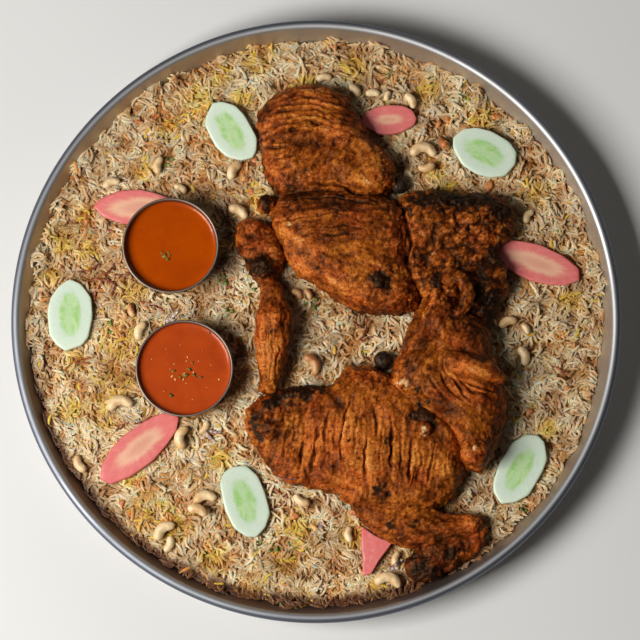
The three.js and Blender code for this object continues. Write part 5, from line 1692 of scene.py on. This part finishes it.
def lump_mesh(name, lumps, material, slot, seed, palette, roughness=0.25):
    """One mesh of small uneven lumps, each given as centre, half sizes and turn."""
    shape = bmesh.new()
    bmesh.ops.create_icosphere(shape, subdivisions=2, radius=1.0)
    unit = np.array([vertex.co[:] for vertex in shape.verts])
    unit_faces = np.array([[vertex.index for vertex in face.verts] for face in shape.faces])
    shape.free()
    corners = []
    faces = []
    for number, (centre, half, turn) in enumerate(lumps):
        rough = 1 + roughness * soft_noise(unit + number * 7.7, 0.8, seed)
        local = unit * rough[:, None] * np.array(half)
        cosine, sine = math.cos(turn), math.sin(turn)
        turned_x = local[:, 0] * cosine - local[:, 1] * sine
        turned_y = local[:, 0] * sine + local[:, 1] * cosine
        corners.append(np.column_stack([turned_x, turned_y, local[:, 2]]) + np.array(centre))
        faces.append(unit_faces + number * len(unit))
    piece = piece_from(name, np.vstack(corners), np.vstack(faces))
    made = np.vstack(corners)
    share = smooth_step(-0.4, 0.5, layered_noise(made, 3 * MM, 2, seed + 1))
    paint(piece.data, "tint", blend_colours(palette[0], palette[1], share))
    finish_piece(piece, material, slot)


def make_crumbs(top_at):
    lumps = []
    for number, (x, y, size) in enumerate(CRUMB_PLACES):
        px, py = x * MM, y * MM
        half = (size * 0.56 * MM, size * 0.44 * MM, size * 0.2 * MM)
        lumps.append(((px, py, top_at(px, py) + 1.3 * MM), half, number * 1.1))
    material = painted_material(
        "fried_crumb", 1.5, 0.5, (130, 80, 60), (0.35, 0.6), 0.3)
    lump_mesh("fried_crumbs", lumps, material, "rice", 3, (srgb(224, 144, 80), srgb(172, 92, 44)), 0.75)


def make_slivers(top_at):
    """Thin curved pieces of raw onion."""
    corners = []
    faces = []
    for number, (x, y, length, turn) in enumerate(SLIVER_PLACES):
        for shift in (-2.5, 2.5):
            line = onion_line(x + shift, y + shift, length, turn + shift * 8, 50, top_at, number)
            lifted = [point + np.array([0, 0, 0.6 * MM]) for point in line]
            widths = 1.4 * MM * (0.35 + np.sin(np.linspace(0.1, 3.04, len(line))))
            ribbon(corners, faces, lifted, widths, 0.5 * MM)
    piece = piece_from("raw_onion", corners, faces)
    made = corners_of(piece.data)
    share = smooth_step(-0.3, 0.4, soft_noise(made, 5 * MM, 3))
    paint(piece.data, "tint", blend_colours(srgb(196, 176, 160), srgb(158, 126, 122), share))
    material = painted_material(
        "raw_onion_skin", 2, 0.1, (210, 190, 190), (0.2, 0.4), 0.05)
    finish_piece(piece, material, "rice")


# Specks in the red sauce: x and y from the cup's middle, length and turn
SALSA_SEEDS = [
    (-12, -7, 3.4, 40), (-9, -10, 3.0, 100), (-1, -10, 2.8, 80), (0, -4, 2.6, 20), (9, -3, 2.8, 60),
    (3, 12, 2.2, 100), (2, 8, 2.0, 80), (-10, 5, 1.8, 30), (-14, 0, 1.8, 70), (14, 8, 1.6, 10),
    (34, -10, 2.6, 70), (2, -14, 1.8, 120), (-32, 10, 1.6, 30), (8, -30, 1.8, 60), (22, -18, 1.4, 20),
    (-18, 20, 1.4, 80), (18, 18, 1.2, 40), (26, 4, 1.4, 100), (-20, -22, 1.4, 10), (-4, 24, 1.4, 60),
]
SALSA_LEAVES = [
    (-11, -2, 5), (1, -6, 8), (5, 0, 6), (10, -6, 6), (-13, -26, 6), (16, -8, 5), (-4, -8, 5), (8, 6, 4),
]
SOUP_LEAVES = [(-6, -9, 9), (-3, -12, 7), (-1, -7, 7), (-9, -6, 5)]


def make_sauces(cup_steel):
    """Cups, their sauces, and the seeds in the red one. Gives the leaves that float on them."""
    for cup in ("cup_1", "cup_2"):
        make_cup(cup, cup_steel)
    orange = sauce_material(
        "orange_sauce", (170, 66, 0), (156, 56, 0), (182, 82, 2), 0.2, 0.05)
    red = sauce_material("red_sauce", (176, 66, 18), (162, 56, 13), (192, 94, 36), 0.3, 0.12)
    x1, y1, level1 = make_sauce("soup_1", "cup_1", orange, 0.12 * MM, 2)
    x2, y2, level2 = make_sauce("salsa_2", "cup_2", red, 0.3 * MM, 3)
    seeds = []
    for dx, dy, length, turn in SALSA_SEEDS:
        half = (length / 2 * MM, length / 3.4 * MM, 0.5 * MM)
        seeds.append(((x2 + dx * MM, y2 + dy * MM, level2 + 0.1 * MM), half, math.radians(turn)))
    pale = painted_material("tomato_seed", 1, 0.2, (200, 150, 90), (0.3, 0.5), 0.1)
    lump_mesh("tomato_seeds", seeds, pale, "salsa", 5, (srgb(222, 176, 96), srgb(214, 140, 72)), 0.1)
    leaves = [(x2 + dx * MM, y2 + dy * MM, level2 + 0.1 * MM, size) for dx, dy, size in SALSA_LEAVES]
    leaves += [(x1 + dx * MM, y1 + dy * MM, level1 - 0.35 * MM, size) for dx, dy, size in SOUP_LEAVES]
    return leaves


# Floor, light and camera

def make_stage():
    bpy.ops.mesh.primitive_plane_add(size=FLOOR_SIZE)
    floor = bpy.context.object
    floor.name = "floor"
    material, shader = new_material("floor_pale", Roughness=0.7)
    cloud = noise_socket(material, 0.5, 2.0)
    share = range_socket(material, cloud, 0.3, 0.7, 0, 1)
    tone = mix_socket(material, share, srgb(222, 220, 216), srgb(216, 214, 210))
    join(material, tone, shader.inputs["Base Color"])
    floor.data.materials.append(material)
    world = bpy.data.worlds.new("studio")
    world.use_nodes = True
    background = world.node_tree.nodes["Background"]
    background.inputs[0].default_value = WORLD_COLOUR
    background.inputs[1].default_value = WORLD_STRENGTH
    bpy.context.scene.world = world
    for light in LIGHTS:
        add_light(*light)


def add_light(name, azimuth, elevation, distance, size, power):
    data = bpy.data.lights.new(name, "AREA")
    data.size = size
    data.energy = power
    lamp = bpy.data.objects.new(name, data)
    bpy.context.scene.collection.objects.link(lamp)
    turn = math.radians(azimuth)
    rise = math.radians(elevation)
    lamp.location = (
        distance * math.cos(rise) * math.cos(turn),
        distance * math.cos(rise) * math.sin(turn),
        distance * math.sin(rise),
    )
    lamp.rotation_euler = (-lamp.location).to_track_quat("-Z", "Y").to_euler()


def make_camera():
    """Almost straight above, with the rim as wide in the image as in the photo."""
    data = bpy.data.cameras.new("camera")
    camera = bpy.data.objects.new("camera", data)
    bpy.context.scene.collection.objects.link(camera)
    rim_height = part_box("platter")[1].z
    aim = Vector((*CAMERA_AIM, rim_height))
    tilt = math.radians(CAMERA_TILT)
    camera.location = aim + CAMERA_DISTANCE * Vector((0, -math.sin(tilt), math.cos(tilt)))
    camera.rotation_euler = (tilt, 0, 0)
    data.sensor_width = SENSOR
    rim_width = CAD_HIGH[0] - CAD_LOW[0]
    data.lens = SENSOR * CAMERA_DISTANCE * RIM_WIDTH_IN_IMAGE / IMAGE_SIDE / rim_width
    bpy.context.scene.camera = camera


make_camera()
make_stage()
bpy.context.scene.view_settings.view_transform = "Standard"
make_platter()
leaves_on_sauce = make_sauces(steel_material("cup_steel", 0.48, 0.58, 0.02))
make_rice(GroundMap())
meat = meat_material()
make_chicken("chicken_1", "chicken_1_meat", UPPER_LOOK, 100, meat)
make_chicken("chicken_2", "chicken_2_meat", LOWER_LOOK, 300, meat)

wet_flesh = painted_material(
    "cucumber_flesh", 2.2, 0.12, (200, 225, 190), (0.22, 0.4), 0.08,
    Subsurface_Weight=0.2, Subsurface_Scale=2.5 * MM)
pink_flesh = painted_material(
    "carrot_flesh", 1.8, 0.2, (225, 170, 160), (0.3, 0.5), 0.12,
    Subsurface_Weight=0.12, Subsurface_Scale=2 * MM)
nut_skin = painted_material(
    "cashew_skin", 1.6, 0.25, (215, 180, 130), (0.35, 0.55), 0.12,
    Subsurface_Weight=0.08, Subsurface_Scale=1.5 * MM)
lime_skin = painted_material(
    "dried_lime_skin", 1.2, 0.4, (120, 100, 90), (0.35, 0.55), 0.3,
    Specular_IOR_Level=0.3, Specular_Tint=(1.0, 0.75, 0.55, 1.0))

CARROT_CORES = [0.5, 0.3, 0.46, 0.42, 0.01]
for number in range(1, 6):
    make_cucumber(f"cucumber_{number}", wet_flesh, 400 + number)
    make_carrot(f"carrot_{number}", pink_flesh, 500 + number, CARROT_CORES[number - 1])
for number in range(1, 35):
    make_cashew(f"cashew_{number:02d}", nut_skin, number)
for number in (1, 2):
    make_lime(f"dried_lime_{number}", lime_skin, 600 + number)

top_height = top_finder()
make_onions(top_height)
make_herbs(top_height, leaves_on_sauce)
make_crumbs(top_height)
make_slivers(top_height)
